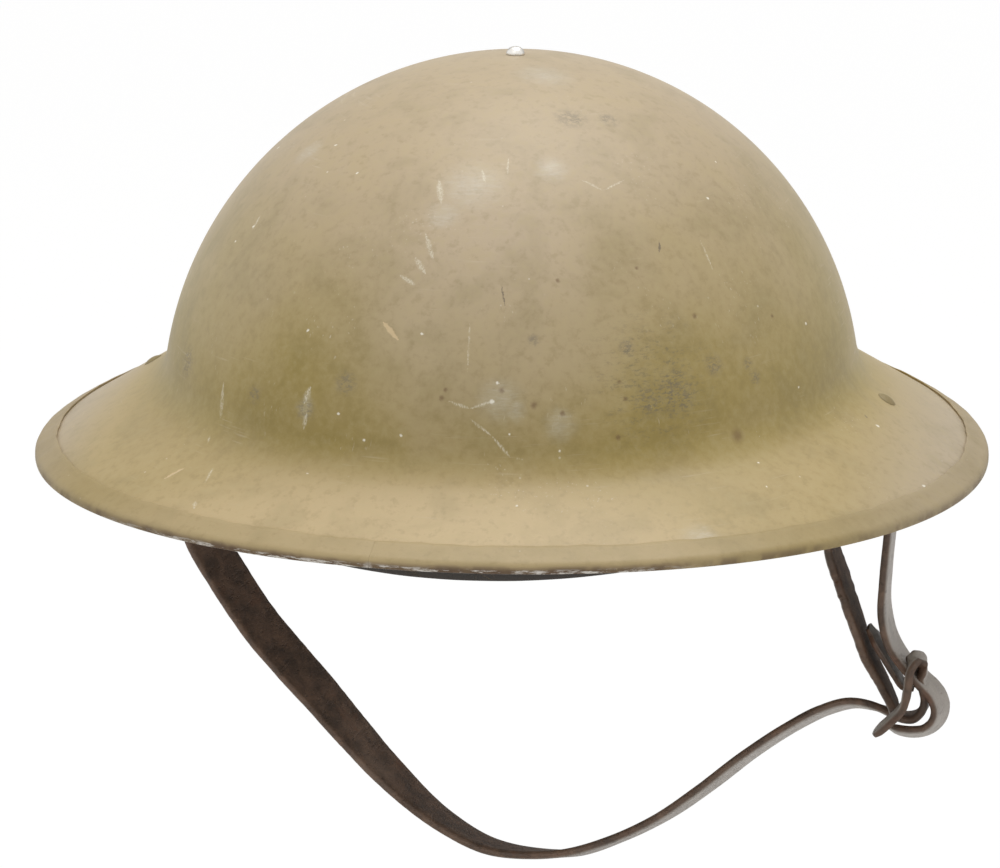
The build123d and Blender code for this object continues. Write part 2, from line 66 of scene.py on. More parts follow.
class Shade:
    """One socket of a finish. Sums and products of it add Math nodes, and node() adds any other."""

    def __init__(self, tree, out=None):
        self.tree = tree
        self.out = out

    def node(self, kind, settings=None, inputs=None, output=0):
        """A node: its settings first, then the values or links of its sockets. Gives one of its outputs."""
        made = self.tree.nodes.new(kind)
        for name, value in (settings or {}).items():
            setattr(made, name, value)
        for name, value in (inputs or {}).items():
            socket = made.inputs[name]
            if isinstance(value, Shade):
                self.tree.links.new(value.out, socket)
            else:
                socket.default_value = (*value, 1) if socket.type == "RGBA" else value
        return Shade(self.tree, made.outputs[output] if len(made.outputs) else None)

    def maths(self, operation, *values, clamp=False):
        settings = {"operation": operation, "use_clamp": clamp}
        return self.node("ShaderNodeMath", settings, dict(enumerate(values)))

    def __add__(self, other):
        return self.maths("ADD", self, other)

    def __sub__(self, other):
        return self.maths("SUBTRACT", self, other)

    def __rsub__(self, other):
        return self.maths("SUBTRACT", other, self)

    def __mul__(self, other):
        return self.maths("MULTIPLY", self, other)

    def __truediv__(self, other):
        return self.maths("DIVIDE", self, other)

    __radd__ = __add__
    __rmul__ = __mul__

    def most(self, other):
        return self.maths("MAXIMUM", self, other)

    def held(self):
        """The value held between 0 and 1"""
        return self.maths("ADD", self, 0.0, clamp=True)

    def step(self, low, high):
        """A smooth step from 0 at low to 1 at high"""
        sockets = {0: self, 1: low, 2: high}
        return self.node("ShaderNodeMapRange", {"interpolation_type": "SMOOTHSTEP"}, sockets)

    def vector(self, operation, *values, output=0):
        sockets = dict(enumerate((self, *values)))
        return self.node("ShaderNodeVectorMath", {"operation": operation}, sockets, output)

    def parts(self, axis):
        return self.node("ShaderNodeSeparateXYZ", {}, {0: self}, axis)

    def tint(self, low, high):
        """A colour between two, by this share"""
        return self.node("ShaderNodeMix", {"data_type": "RGBA"}, {0: self, 6: low, 7: high}, 2)

    def coats(self, *layers):
        """This colour with others laid over it in turn, each given as its share and its colour"""
        painted = self
        for share, colour in layers:
            painted = self.node("ShaderNodeMix", {"data_type": "RGBA"}, {0: share, 6: painted, 7: colour}, 2)
        return painted

    def noise(self, size, detail=2.0, rough=0.5, stretch=(1, 1, 1), swirl=0.0):
        """Noise over a place, with lumps about size metres across"""
        place = self.vector("MULTIPLY", stretch)
        sockets = {0: place, "Scale": 1 / size, "Detail": detail, "Roughness": rough, "Distortion": swirl}
        return place.node("ShaderNodeTexNoise", {}, sockets)

    def shift(self, size, reach):
        """A small step to any side, up to about half the reach, that changes with the place"""
        sockets = {0: self, "Scale": 1 / size, "Detail": 3.0, "Roughness": 0.7}
        turned = self.node("ShaderNodeTexNoise", {}, sockets, 1).vector("SUBTRACT", (0.5, 0.5, 0.5))
        return turned.vector("MULTIPLY", (reach, reach, reach))

    def cells(self, size, feature="F1"):
        return self.node("ShaderNodeTexVoronoi", {"feature": feature}, {0: self, "Scale": 1 / size})

    def attribute(self, name):
        return self.node("ShaderNodeAttribute", {"attribute_name": name}, output=2)

    def bump(self, strength, distance):
        """This height as a Bump node for Normal"""
        return self.node("ShaderNodeBump", {}, {"Strength": strength, "Distance": distance, "Height": self})

    def surface(self, **sockets):
        """The principled shader, whose sockets' names have underscores for their spaces"""
        named = {name.replace("_", " "): value for name, value in sockets.items()}
        return self.node("ShaderNodeBsdfPrincipled", {}, named)

    def finish(self):
        self.node("ShaderNodeOutputMaterial", {}, {0: self})


def new_finish(name):
    """An empty material, the start of its nodes, and the place in the frame of the part, in metres"""
    material = bpy.data.materials.new(name)
    material.use_nodes = True
    material.node_tree.nodes.clear()
    start = Shade(material.node_tree)
    return material, start, start.node("ShaderNodeTexCoord", output=3)


class Pile:
    """Points and faces gathered for one mesh, in metres, with named values at the points"""

    def __init__(self):
        self.points, self.faces, self.values = [], [], {}

    def rings(self, rings, loop=False, **values):
        """A skin over rings of equal count. loop joins the last to the first, or else both ends close."""
        first, count = len(self.points), len(rings[0])
        for ring in rings:
            self.points += [tuple(point) for point in ring]
        for name, given in values.items():
            self.values.setdefault(name, [0.0] * first).extend(given)
        for index in range(len(rings) if loop else len(rings) - 1):
            here, there = first + index * count, first + (index + 1) % len(rings) * count
            for step in range(count):
                beside = (step + 1) % count
                self.faces.append((here + step, here + beside, there + beside, there + step))
        if not loop:
            last = first + (len(rings) - 1) * count
            self.faces.append(tuple(first + step for step in reversed(range(count))))
            self.faces.append(tuple(last + step for step in range(count)))

    def tube(self, line, radius, sides=8, loop=False):
        """A round tube along a line of points. The radius is one number or one for each point."""
        line = [Vector(point) for point in line]
        radii = radius if hasattr(radius, "__len__") else [radius] * len(line)
        side, rings = None, []
        for index, point in enumerate(line):
            ahead = line[(index + 1) % len(line)] if loop else line[min(index + 1, len(line) - 1)]
            behind = line[index - 1] if loop else line[max(index - 1, 0)]
            along = (ahead - behind).normalized()
            if side is None:
                side = along.cross(Vector((0.3, 0.5, 0.8))).normalized()
            side = (side - along * side.dot(along)).normalized()
            over = along.cross(side)
            turns = [2 * pi * step / sides for step in range(sides)]
            rings.append([point + (side * cos(turn) + over * sin(turn)) * radii[index] for turn in turns])
        self.rings(rings, loop=loop)

    def make(self, name, material, body, sharp=40):
        """The mesh as a piece that rides on a body. Edges sharper than an angle in degrees stay sharp."""
        mesh = bpy.data.meshes.new(name)
        mesh.from_pydata(self.points, [], self.faces)
        for value_name, given in self.values.items():
            given = given + [0.0] * (len(self.points) - len(given))
            mesh.attributes.new(value_name, "FLOAT", "POINT").data.foreach_set("value", given)
        mesh.validate()
        tidy = bmesh.new()
        tidy.from_mesh(mesh)
        bmesh.ops.recalc_face_normals(tidy, faces=tidy.faces)
        tidy.to_mesh(mesh)
        tidy.free()
        mesh.shade_smooth()
        mesh.set_sharp_from_angle(angle=radians(sharp))
        mesh.materials.append(material)
        piece = bpy.data.objects.new(name, mesh)
        bpy.context.scene.collection.objects.link(piece)
        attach(piece, body)
        return piece


floor_height, floor_front, floor_back, paper_half_width = -0.30, -3.0, 2.2, 4.0
sweep_radius, backdrop_top = 0.8, 4.0
sweep = [(floor_front, floor_height), (floor_back, floor_height)]
for turn in range(10, 91, 10):
    rise = (1 - cos(radians(turn))) * sweep_radius
    sweep.append((floor_back + sin(radians(turn)) * sweep_radius, floor_height + rise))
sweep.append((floor_back + sweep_radius, backdrop_top))
paper, start, place = new_finish("paper")
fibre = place.noise(0.004, 4, 0.6)
paper_body = start.surface(
    Base_Color=fibre.tint((0.80, 0.79, 0.77), (0.86, 0.85, 0.84)),
    Roughness=0.9,
    Normal=fibre.bump(0.15, 0.001),
)
paper_glow = start.node("ShaderNodeEmission", {}, {"Color": (1, 1, 1), "Strength": 1.03})
camera_ray = start.node("ShaderNodeLightPath", output=0)
paper_face = start.node("ShaderNodeMixShader", {}, {0: camera_ray * 0.92, 1: paper_body, 2: paper_glow})
from_below = start.node("ShaderNodeNewGeometry", output=6)
paper_gone = start.node("ShaderNodeBsdfTransparent", {}, {"Color": (1, 1, 1)})
start.node("ShaderNodeMixShader", {}, {0: from_below, 1: paper_face, 2: paper_gone}).finish()
paper_mesh = bpy.data.meshes.new("paper_sweep")
edges_out = (-paper_half_width, paper_half_width)
paper_points = [(side, depth, height) for depth, height in sweep for side in edges_out]
paper_faces = [(2 * i, 2 * i + 1, 2 * i + 3, 2 * i + 2) for i in range(len(sweep) - 1)]
paper_mesh.from_pydata(paper_points, [], paper_faces)
paper_mesh.shade_smooth()
paper_mesh.materials.append(paper)
paper_sweep = bpy.data.objects.new("paper_sweep", paper_mesh)
bpy.context.scene.collection.objects.link(paper_sweep)

world = bpy.data.worlds.new("studio")
bpy.context.scene.world = world
world.use_nodes = True
world.node_tree.nodes.clear()
room = Shade(world.node_tree)
seen = room.node("ShaderNodeLightPath", output=0)
mirrored = room.node("ShaderNodeLightPath", output=3)
clear = room.node("ShaderNodeLightPath", output=6)
backdrop_share = seen.most(mirrored).most(clear)
room_light = room.node("ShaderNodeBackground", {}, {0: (1, 1, 1), 1: 0.66 + backdrop_share * 0.54})
room.node("ShaderNodeOutputWorld", {}, {0: room_light})

lamps = (
    ("front_box", (-0.35, -1.25, 1.25), 1.1, 2.0),
    ("top_box", (0.1, 0.4, 1.5), 1.1, 14.0),
)
for lamp_name, lamp_place, lamp_width, lamp_power in lamps:
    lamp = bpy.data.lights.new(lamp_name, "AREA")
    lamp.size = lamp_width
    lamp.energy = lamp_power
    lamp_holder = bpy.data.objects.new(lamp_name, lamp)
    bpy.context.scene.collection.objects.link(lamp_holder)
    lamp_holder.location = lamp_place
    from_helmet = Vector(lamp_place) - Vector((0, 0, 0.02))
    lamp_holder.rotation_euler = from_helmet.to_track_quat("Z", "Y").to_euler()

# Helmet shell
# It is pressed from one sheet of steel 0.95 mm thick: an egg-shaped bowl that runs into a sloping brim.
# Over it lies old khaki-olive paint, paler on top, with scratches, chips, scuffs and specks of rust. Painted
# light is laid into it as well: a painted highlight on the front of the dome, the brim painted lighter in
# front, and a painted reflection on the brim's sides.
wall = 0.00095
bowl_radius, bowl_base, bowl_length_share = 0.1056, 0.0121, 1.15
brim_slope, brim_length_share = radians(31), 1.095
brim_fall = tan(brim_slope)
rim_half_width, rim_half_length, rim_drop = 0.1444, 0.1515, 0.0006
brim_peak = rim_half_width * brim_fall - rim_drop
root_radius = 0.015
dome_rows, root_rows, brim_rows, shell_sides, top_share = 120, 14, 30, 360, 0.008


def brim_height(x, y):
    return brim_peak - brim_fall * hypot(x, y / brim_length_share)


def shell_profile(turn):
    """Reaches and heights of the shell's upper face from crown to rim, in the upright plane at a turn"""
    across = 1 / hypot(cos(turn) / bowl_radius, sin(turn) / (bowl_radius * bowl_length_share))
    fall = brim_fall * hypot(cos(turn), sin(turn) / brim_length_share)
    rim = 1 / hypot(cos(turn) / rim_half_width, sin(turn) / rim_half_length)
    low, high = -0.2, 1.2
    for _ in range(40):
        angle = (low + high) / 2
        out = Vector((cos(angle) / across, sin(angle) / bowl_radius)).normalized()
        centre = Vector((across * cos(angle), bowl_base + bowl_radius * sin(angle))) + out * root_radius
        room_left = (centre.y - brim_peak + fall * centre.x) * cos(atan(fall)) - root_radius
        low, high = (low, angle) if room_left > 0 else (angle, high)
    profile = []
    for row in range(dome_rows):
        share = top_share + (1 - top_share) * row / (dome_rows - 1)
        climb = pi / 2 - (pi / 2 - angle) * share
        profile.append(Vector((across * cos(climb), bowl_base + bowl_radius * sin(climb))))
    brim_out = Vector((fall, 1)).normalized()
    for row in range(1, root_rows + 1):
        towards = (out * (1 - row / root_rows) + brim_out * (row / root_rows)).normalized()
        profile.append(centre - towards * root_radius)
    brim_start = profile[-1]
    brim_end = Vector((rim, brim_peak - fall * rim))
    return profile + [brim_start.lerp(brim_end, row / brim_rows) for row in range(1, brim_rows + 1)]


shell_turns = [2 * pi * step / shell_sides for step in range(shell_sides)]
shell_columns = [shell_profile(turn) for turn in shell_turns]
shell = Pile()
outer_rings, inner_rings = [], []
for row in range(len(shell_columns[0])):
    outer_ring, inner_ring = [], []
    for turn, column in zip(shell_turns, shell_columns):
        before, after = column[max(row - 1, 0)], column[min(row + 1, len(column) - 1)]
        along = (after - before).normalized()
        point = column[row]
        under = point - Vector((-along.y, along.x)) * wall
        outer_ring.append((point.x * cos(turn), point.x * sin(turn), point.y))
        inner_ring.append((under.x * cos(turn), under.x * sin(turn), under.y))
    outer_rings.append(outer_ring)
    inner_rings.append(inner_ring)
shell_count = len(outer_rings) * shell_sides
shell.rings(outer_rings + inner_rings[::-1], loop=True, inside=[0.0] * shell_count + [1.0] * shell_count)

# Long marks have two ends and half a width, and round marks a centre and a radius, in millimetres.
shell_chips = (
    (-15.8, -107.3, 58.9, -10.7, -110.4, 54.7, 1.1), (-80.4, -108.1, 10, -73.9, -105.5, 13.5, 0.9),
    (-128.6, -43.3, 5.6, -126.3, -43, 7, 0.5),
)
shell_scratches = (
    (-66.6, -90.5, 34.9, -66.8, -93.2, 22.7, 0.9), (-36.2, -109.5, 40, -37.9, -110.3, 34.9, 1),
    (-36.8, -111.2, 32.9, -37.7, -111.9, 27.8, 0.7), (8.9, -107.4, 60.5, 9.6, -113.8, 47.6, 0.35),
    (4.9, -117, 39.7, 11, -117, 37.9, 0.45), (11, -117, 37.9, 17.1, -115.4, 40, 0.5),
    (11.2, -117.8, 35.2, 17.3, -117.8, 30.8, 0.4), (17.3, -117.8, 30.8, 23.8, -117.6, 23.5, 0.45),
    (23.8, -117.6, 23.5, 27.8, -116.4, 22.7, 0.4), (23.4, -117.5, 24.5, 26.8, -116.6, 24.2, 0.35),
    (-65.8, -116.2, 11.5, -64.7, -108.7, 15.3, 0.5), (-66, -125.8, 6.9, -66.6, -121.8, 8.6, 0.7),
    (-69.7, -97.7, 18.4, -69.5, -94.6, 19.9, 0.4), (-6.7, -76.7, 93.7, -4.3, -83.9, 88.3, 0.9),
    (-7.3, -91.4, 81.2, -3.6, -97.5, 74.9, 0.7), (-9.1, -96.7, 75.3, -5.3, -100.1, 71.6, 0.8),
    (-12.7, -99.8, 70.8, -7.6, -102.2, 68.5, 0.7), (4.9, -72.7, 96.5, 7, -77.3, 93.2, 0.4),
    (11.6, -67.7, 98.9, 12.4, -73.3, 95.4, 0.35), (-63, -61.3, 78, -64.6, -64.3, 74.2, 0.5),
    (32.8, -67.3, 93.6, 38.9, -67.4, 90.8, 0.35), (38.9, -67.4, 90.8, 43.8, -60, 92.7, 0.35),
    (65.6, -59.6, 76.5, 70.2, -63.6, 68.3, 0.4),
)
shell_nicks = (
    (55.8, -70.5, 77.5, 56.1, -73.1, 75, 0.5), (16.2, -100.1, 69.6, 18.2, -103.8, 63.7, 0.35),
    (104.5, 18.4, 22.8, 107.3, 0.5, 22, 0.6), (110.4, -24, 18.8, 111.8, -25.7, 17.8, 0.6),
    (-18.6, -118.9, 22.5, 8.7, -121, 19.9, 0.4),
)
shell_smudges = (
    (3.3, -78.1, 92.8, 7.5), (-3.3, -86.8, 85.8, 4), (-52, -47, 94.4, 4), (24.1, -67.6, 96.5, 4),
    (13, -20.7, 115.3, 7), (23.2, -114.8, 37.7, 3), (76.9, -121.1, 5.6, 5), (35.3, -111.7, 33.3, 4),
    (19, -114.9, 40.3, 5), (-37.5, -110.7, 33.9, 2.5),
)
shell_blots = (
    (-83.2, -69.9, 35, 4.5), (-25.2, -112.7, 42.2, 3.2), (-37.5, -110.8, 33.3, 3), (-54.9, -100.5, 34.4, 2.6),
    (26.7, -106.2, 55.7, 1.6), (73.2, -79.1, 44.7, 3), (58.2, -96.8, 37.7, 4.5), (64.1, -91.2, 39.4, 6),
    (51, -95.5, 52.6, 2.2), (81.4, -68.6, 43, 1.8), (83.4, -67.7, 39, 2.2), (25.3, -44.5, 107, 4.5),
    (35.2, -38.2, 106, 3),
)
shell_rust = (
    (67.2, -77.3, 58.1, 0.9), (85.9, -52.2, 53.4, 0.7), (35.8, -110.7, 36.4, 0.8), (50.5, -104.9, 28.9, 0.9),
    (28.1, -112.9, 38.9, 1.1), (19.2, -114, 42.8, 0.9), (3.9, -116.1, 42.7, 0.7), (3, -116.9, 40.5, 0.8),
    (49.9, -100.6, 43.7, 0.6), (51.7, -101.2, 39.1, 0.7), (31.1, -94.7, 70.3, 0.7), (51.1, -81, 71.8, 0.6),
    (79.7, -78.4, 24.1, 2.4),
)
shell_specks = (
    (-38.7, -102.1, 54.1, 0.5), (-4.1, -109.9, 56.7, 0.5), (-26.9, -114.8, 33.8, 0.5),
    (-18.8, -118.2, 27.5, 0.5), (-8, -119.3, 29.9, 0.5), (-11.2, -120.1, 22.9, 0.6),
    (-34.7, -119.8, 17.6, 0.4), (26.5, -128.1, 14.4, 0.5), (18.1, -113.5, 44.8, 0.5),
    (16.9, -115.5, 39.9, 0.8), (22.1, -116.7, 31.2, 0.4), (93.9, -37, 48.1, 0.6), (93.9, -50.5, 32.4, 0.5),
    (35.5, -113.1, 26.2, 0.5), (86.8, -81.4, 17.8, 0.5), (90.4, -89.6, 13.2, 0.5), (114.7, -26.2, 16, 0.9),
    (130.7, -46.1, 3.9, 0.9), (127, -71.2, 0.7, 0.5), (-42.9, -51.5, 97.6, 0.6), (-32.4, -68.6, 93, 0.5),
    (-67.6, -23.4, 90.7, 0.7), (-64.6, -63.3, 74.9, 0.6), (-70.7, -61.2, 69.7, 0.5), (65.5, -44.4, 85.4, 0.6),
    (64.8, -25.3, 92.5, 0.5),
)

def stroke(place, mark, spread=1.0):
    """How far a place lies inside a long mark that tapers to both ends, from 0 to 1"""
    begin, end, half_width = Vector(mark[:3]) / 1000, Vector(mark[3:6]) / 1000, mark[6] * spread / 1000
    along = end - begin
    from_begin = place.vector("SUBTRACT", begin)
    share = from_begin.vector("DOT_PRODUCT", along / along.length_squared, output=1).held()
    foot = place.node("ShaderNodeVectorMath", {"operation": "SCALE"}, {0: along, "Scale": share})
    gap = from_begin.vector("DISTANCE", foot, output=1)
    taper = share * (1 - share) * 3.4 + 0.12
    return (1 - gap / (taper * half_width)).held()


def patch(place, mark, spread=1.0):
    """How far a place lies inside a round mark, from 0 to 1"""
    gap = place.vector("DISTANCE", Vector(mark[:3]) / 1000, output=1)
    return (1 - gap / (mark[3] * spread / 1000)).held()


def strongest(shape, place, marks, spread=1.0):
    """The highest of several marks of one shape, a stroke or a patch"""
    found = shape(place, marks[0], spread)
    for mark in marks[1:]:
        found = found.most(shape(place, mark, spread))
    return found


def khaki(place):
    """Colour of the old paint before its marks: khaki over olive, browner and paler on the crown. Painted
    light
    is laid in with it: a painted highlight on the front of the dome, the brim painted lighter in front, and a
    painted reflection on the brim's sides.
    """
    broad = place.noise(0.055, 3, 0.55)
    cloud = place.noise(0.018, 4, 0.6, swirl=0.4)
    fine = place.noise(0.0028, 4, 0.65)
    height = place.parts(2)
    olive = broad.step(0.35, 0.65).tint((0.290, 0.213, 0.046), (0.335, 0.248, 0.060))
    crown_share = (height + (broad - 0.5) * 0.06).step(0.036, 0.098)
    # Painted highlight: a broad pale patch over the front of the dome, where the light falls on it.
    painted_highlight = (patch(place, (12, -104, 60, 62)) * (0.5 + cloud)).step(0.08, 0.75)
    side_share = place.maths("ABSOLUTE", place.parts(0)).step(0.105, 0.138)
    front_share = place.parts(1).step(-0.105, -0.135)
    brim_share = 1 - (height + (cloud - 0.5) * 0.012).step(0.014, 0.026)
    painted = olive.coats(
        (crown_share * 0.68, (0.505, 0.395, 0.290)),
        (painted_highlight * 0.42, (0.530, 0.425, 0.320)),
        (brim_share * 0.6, (0.475, 0.350, 0.170)),
        # Painted reflection: the brim's sides paler and greyer, where the pale room shows on them at a
        # grazing angle.
        (brim_share * side_share * 0.65, (0.450, 0.375, 0.300)),
        # Painted light: the brim painted lighter in front, standing in for light from the front left.
        (brim_share * front_share * 0.8, (0.550, 0.415, 0.225)),
        (cloud.step(0.42, 0.75) * 0.30, (0.44, 0.340, 0.160)),
        (cloud.step(0.55, 0.30) * 0.26, (0.225, 0.175, 0.062)),
        (fine.step(0.40, 0.75) * 0.30, (0.46, 0.375, 0.190)),
        (fine.step(0.50, 0.30) * 0.26, (0.235, 0.175, 0.050)),
    )
    return painted, cloud, fine


khaki_paint, start, place = new_finish("khaki_paint")
base, cloud, fine = khaki(place)
strayed = place.vector("ADD", place.shift(0.0060, 0.0050))
torn_edge = place.vector("ADD", place.shift(0.0011, 0.0011))
rubbing = place.noise(0.0010, 4, 0.8, (0.25, 0.25, 1.8)).step(0.42, 0.66)
smudge = strongest(patch, strayed, shell_smudges, 1.7).step(0.0, 1.0) * (0.50 + rubbing * 0.5)
speckled = place.noise(0.0011, 4, 0.8, (0.7, 0.7, 1.5))
blot = strongest(patch, torn_edge, shell_blots, 1.5).step(0.0, 0.8) * speckled.step(0.40, 0.60)
hatch = patch(strayed, (59, -94, 43, 27)).step(0.0, 0.7) * speckled.step(0.46, 0.60)
hatch = hatch * place.noise(0.0030, 4, 0.8, (0.35, 0.35, 1.6)).step(0.44, 0.60)
rust = strongest(patch, torn_edge, shell_rust, 1.4).step(0.0, 0.9)
speck = strongest(patch, torn_edge, shell_specks, 1.1).step(0.05, 0.6)
small_specks = place.cells(0.0075).step(0.055, 0.035) * place.noise(0.03, 2, 0.5).step(0.47, 0.62)
grooves = place.noise(0.0006, 3, 0.8, (1.5, 1.5, 0.35)).step(0.36, 0.62)
scratch = strongest(stroke, torn_edge, shell_scratches, 1.5).step(0.0, 0.9) * grooves
chip = strongest(stroke, torn_edge, shell_chips).step(0.05, 0.5)
nick = strongest(stroke, torn_edge, shell_nicks).step(0.05, 0.6)
wiped = place.noise(0.0011, 3, 0.6, (0.06, 0.06, 1.6)).step(0.60, 0.74)
wiped = wiped * place.noise(0.03, 2).step(0.48, 0.66)
hairline = place.noise(0.0009, 2, 0.5, (1.4, 1.4, 0.09)).step(0.66, 0.74)
hairline = hairline * place.noise(0.022, 2).step(0.55, 0.68)
height = fine * 0.25 + cloud * 0.3 - chip * 1.1
start.surface(
    Base_Color=base.coats(
        (wiped * 0.42, (0.56, 0.47, 0.33)),
        (hairline * 0.60, (0.60, 0.53, 0.40)),
        (smudge * 0.34, (0.66, 0.645, 0.575)),
        (hatch * 0.50, (0.145, 0.125, 0.075)),
        (blot * 0.55, (0.150, 0.130, 0.100)),
        (rust * 0.62, (0.155, 0.085, 0.042)),
        (scratch * 0.70, (0.76, 0.71, 0.56)),
        (chip * 0.80, (0.66, 0.50, 0.28)),
        (nick * 0.75, (0.11, 0.085, 0.055)),
        (speck.most(small_specks * 0.6) * 0.85, (0.86, 0.82, 0.70)),
    ),
    Roughness=(0.50 + (fine - 0.5) * 0.16 + blot * 0.08 - smudge * 0.10 + rust * 0.25).held(),
    Normal=height.bump(0.32, 0.0005),
    Sheen_Weight=0.2,
    Sheen_Roughness=0.4,
).finish()

lining_paint, start, place = new_finish("lining_paint")
base, cloud, fine = khaki(place)
lining_rust = place.noise(0.012, 5, 0.7).step(0.56, 0.72)
start.surface(
    Base_Color=base.coats((0.45, (0.13, 0.115, 0.06)), (lining_rust * 0.7, (0.105, 0.05, 0.025))),
    Roughness=0.62 + lining_rust * 0.2,
    Normal=(fine + lining_rust).bump(0.4, 0.0006),
).finish()

shell_piece = shell.make("pressed_shell", khaki_paint, "helmet", sharp=60)
shell_piece.data.materials.append(lining_paint)
inside = [0.0] * len(shell.points)
shell_piece.data.attributes["inside"].data.foreach_get("value", inside)
for face in shell_piece.data.polygons:
    face.material_index = 1 if sum(inside[index] for index in face.vertices) > 2 else 0
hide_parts("helmet_shell")

# Rim band
# A strip of thin steel is folded over the brim's raw edge all round, with a butt joint at the front left.
# It wears the same paint, rubbed through to the steel along the lower corner in front.
band_sheet, band_leg, joint_offset, joint_gap, band_steps = 0.0008, 0.006, 0.0096, 0.00004, 720
band_lift, hair_gap = band_sheet / cos(brim_slope), 0.00005
band_under = -(wall + band_sheet) / cos(brim_slope)
band_inner = -wall / cos(brim_slope) - hair_gap
band_outline = (
    (band_leg, hair_gap, 0.0), (band_leg, band_lift * 0.75, 0.0), (band_leg - 0.0004, band_lift, 0.0),
    (band_leg * 0.75, band_lift, 0.0), (band_leg * 0.5, band_lift, 0.0), (band_leg * 0.25, band_lift, 0.0),
    (0.0006, band_lift * 1.02, 0.0), (-0.0001, band_lift * 0.95, 0.1), (-0.0005, band_lift * 0.62, 0.25),
    (-0.00075, 0.00015, 0.5), (-0.0008, -0.0005, 0.7), (-0.0008, -0.0011, 0.9),
    (-0.0007, band_under * 0.78, 1.0), (-0.00035, band_under * 0.95, 1.0), (0.0002, band_under * 1.03, 1.0),
    (0.0010, band_under * 1.03, 0.7), (band_leg * 0.3, band_under, 0.3), (band_leg * 0.6, band_under, 0.1),
    (band_leg - 0.0004, band_under, 0.1), (band_leg, band_under * 0.85, 0.1), (band_leg, band_inner, 0.0),
    (0.0001, band_inner, 0.0), (0.0001, hair_gap, 0.0),
)
joint_turn = -acos(-joint_offset / rim_half_width)
joint_half = joint_gap / 2 / rim_half_width
band_rings, band_wear = [], []
for step in range(band_steps + 1):
    turn = joint_turn + joint_half + (2 * pi - 2 * joint_half) * step / band_steps
    rim = Vector((rim_half_width * cos(turn), rim_half_length * sin(turn)))
    out = Vector((cos(turn) / rim_half_width, sin(turn) / rim_half_length)).normalized()
    crimp = 0.00012 * sin(turn * 23) + 0.00010 * sin(turn * 41 + 1.3) + 0.00008 * sin(turn * 97 + 0.4)
    press = 0.00005 * sin(turn * 31 + 2.0) + 0.00004 * sin(turn * 71)
    near_joint = max(0, 1 - min(step, band_steps - step) / 5)
    ring = []
    for inward, lift, wear in band_outline:
        spot = rim - out * (inward + (crimp if inward > band_leg * 0.9 else 0))
        pressed = lift + (press if lift > 0.0002 else 0) - (0.00018 * near_joint if lift > 0.0005 else 0)
        ring.append((spot.x, spot.y, brim_height(spot.x, spot.y) + pressed))
        band_wear.append(wear)
    band_rings.append(ring)
rim_band = Pile()
rim_band.rings(band_rings, wear=band_wear)

band_finish, start, place = new_finish("rim_paint")
base, cloud, fine = khaki(place)
wear = start.attribute("wear")
front_share = (place.parts(1) + 0.02).step(-0.05, -0.13)
side_share = (place.parts(0) + (cloud - 0.5) * 0.03).step(0.085, 0.055) * place.parts(0).step(-0.150, -0.125)
rub = place.noise(0.009, 3, 0.7) * 0.6 + place.noise(0.0014, 3, 0.7) * 0.4
front_wear = wear.step(0.25, 0.85) * front_share * side_share
steel = front_wear * (rub + 0.17).step(0.42, 0.58)
bright = front_wear * wear.step(0.55, 0.85) * place.noise(0.0016, 4, 0.8, (0.25, 0.25, 1.8)).step(0.49, 0.60)
bright = bright * (0.25 + place.parts(0).step(-0.115, -0.045) * 0.75)
joint_spot = patch(place, (-9.6, -151.6, 1.0, 2.2)).step(0.0, 0.9)
bright = bright.most(joint_spot * rub.step(0.40, 0.62))
rusty = wear.step(0.1, 0.9) * place.noise(0.012, 3, 0.7).step(0.42, 0.60) * (0.65 + front_share * 0.35)
specks = place.cells(0.006).step(0.060, 0.040) * place.noise(0.02, 2).step(0.5, 0.62)
top_scuffs = place.noise(0.0016, 4, 0.8).step(0.64, 0.74) * place.noise(0.014, 2).step(0.5, 0.62)
bare = steel.most(bright)
start.surface(
    Base_Color=base.coats(
        (0.36, (0.215, 0.160, 0.058)),
        (rusty * 0.70, (0.095, 0.055, 0.032)),
        (steel * 0.85, (0.125, 0.085, 0.060)),
        (bright * 0.95, (0.66, 0.63, 0.58)),
        (top_scuffs * 0.35, (0.55, 0.47, 0.34)),
        (specks * 0.7, (0.84, 0.80, 0.68)),
    ),
    Metallic=(bare * 0.85).held(),
    Roughness=(0.52 + (fine - 0.5) * 0.16 - bare * 0.16 + rusty * 0.15).held(),
    Normal=(fine * 0.3 - bare * 0.5 + rub * 0.3).bump(0.35, 0.0004),
).finish()
band_piece = rim_band.make("crimped_rim", band_finish, "helmet", sharp=50)
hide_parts("rim_band")

# Rivets of the shell
# One rivet of soft steel through the crown holds the liner, and one in each side of the brim holds a lug.
# The crown rivet is rubbed bright, and the lug rivets keep their paint, darkened with dirt.


def turned(pile, outline, seat, sides=40):
    """A turned piece on a seat. Its outline holds reaches and heights in millimetres, from top to foot."""
    rings = []
    for reach, height in outline:
        turns = [2 * pi * step / sides for step in range(sides)]
        circle = [(reach * cos(turn) / 1000, reach * sin(turn) / 1000) for turn in turns]
        rings.append([seat @ Vector((x, y, height / 1000)) for x, y in circle])
    pile.rings(rings)


def seat_at(place, normal):
    """The seat of a turned piece: its place, with its height along a normal"""
    return Matrix.Translation(Vector(place)) @ Vector(normal).to_track_quat("Z", "Y").to_matrix().to_4x4()


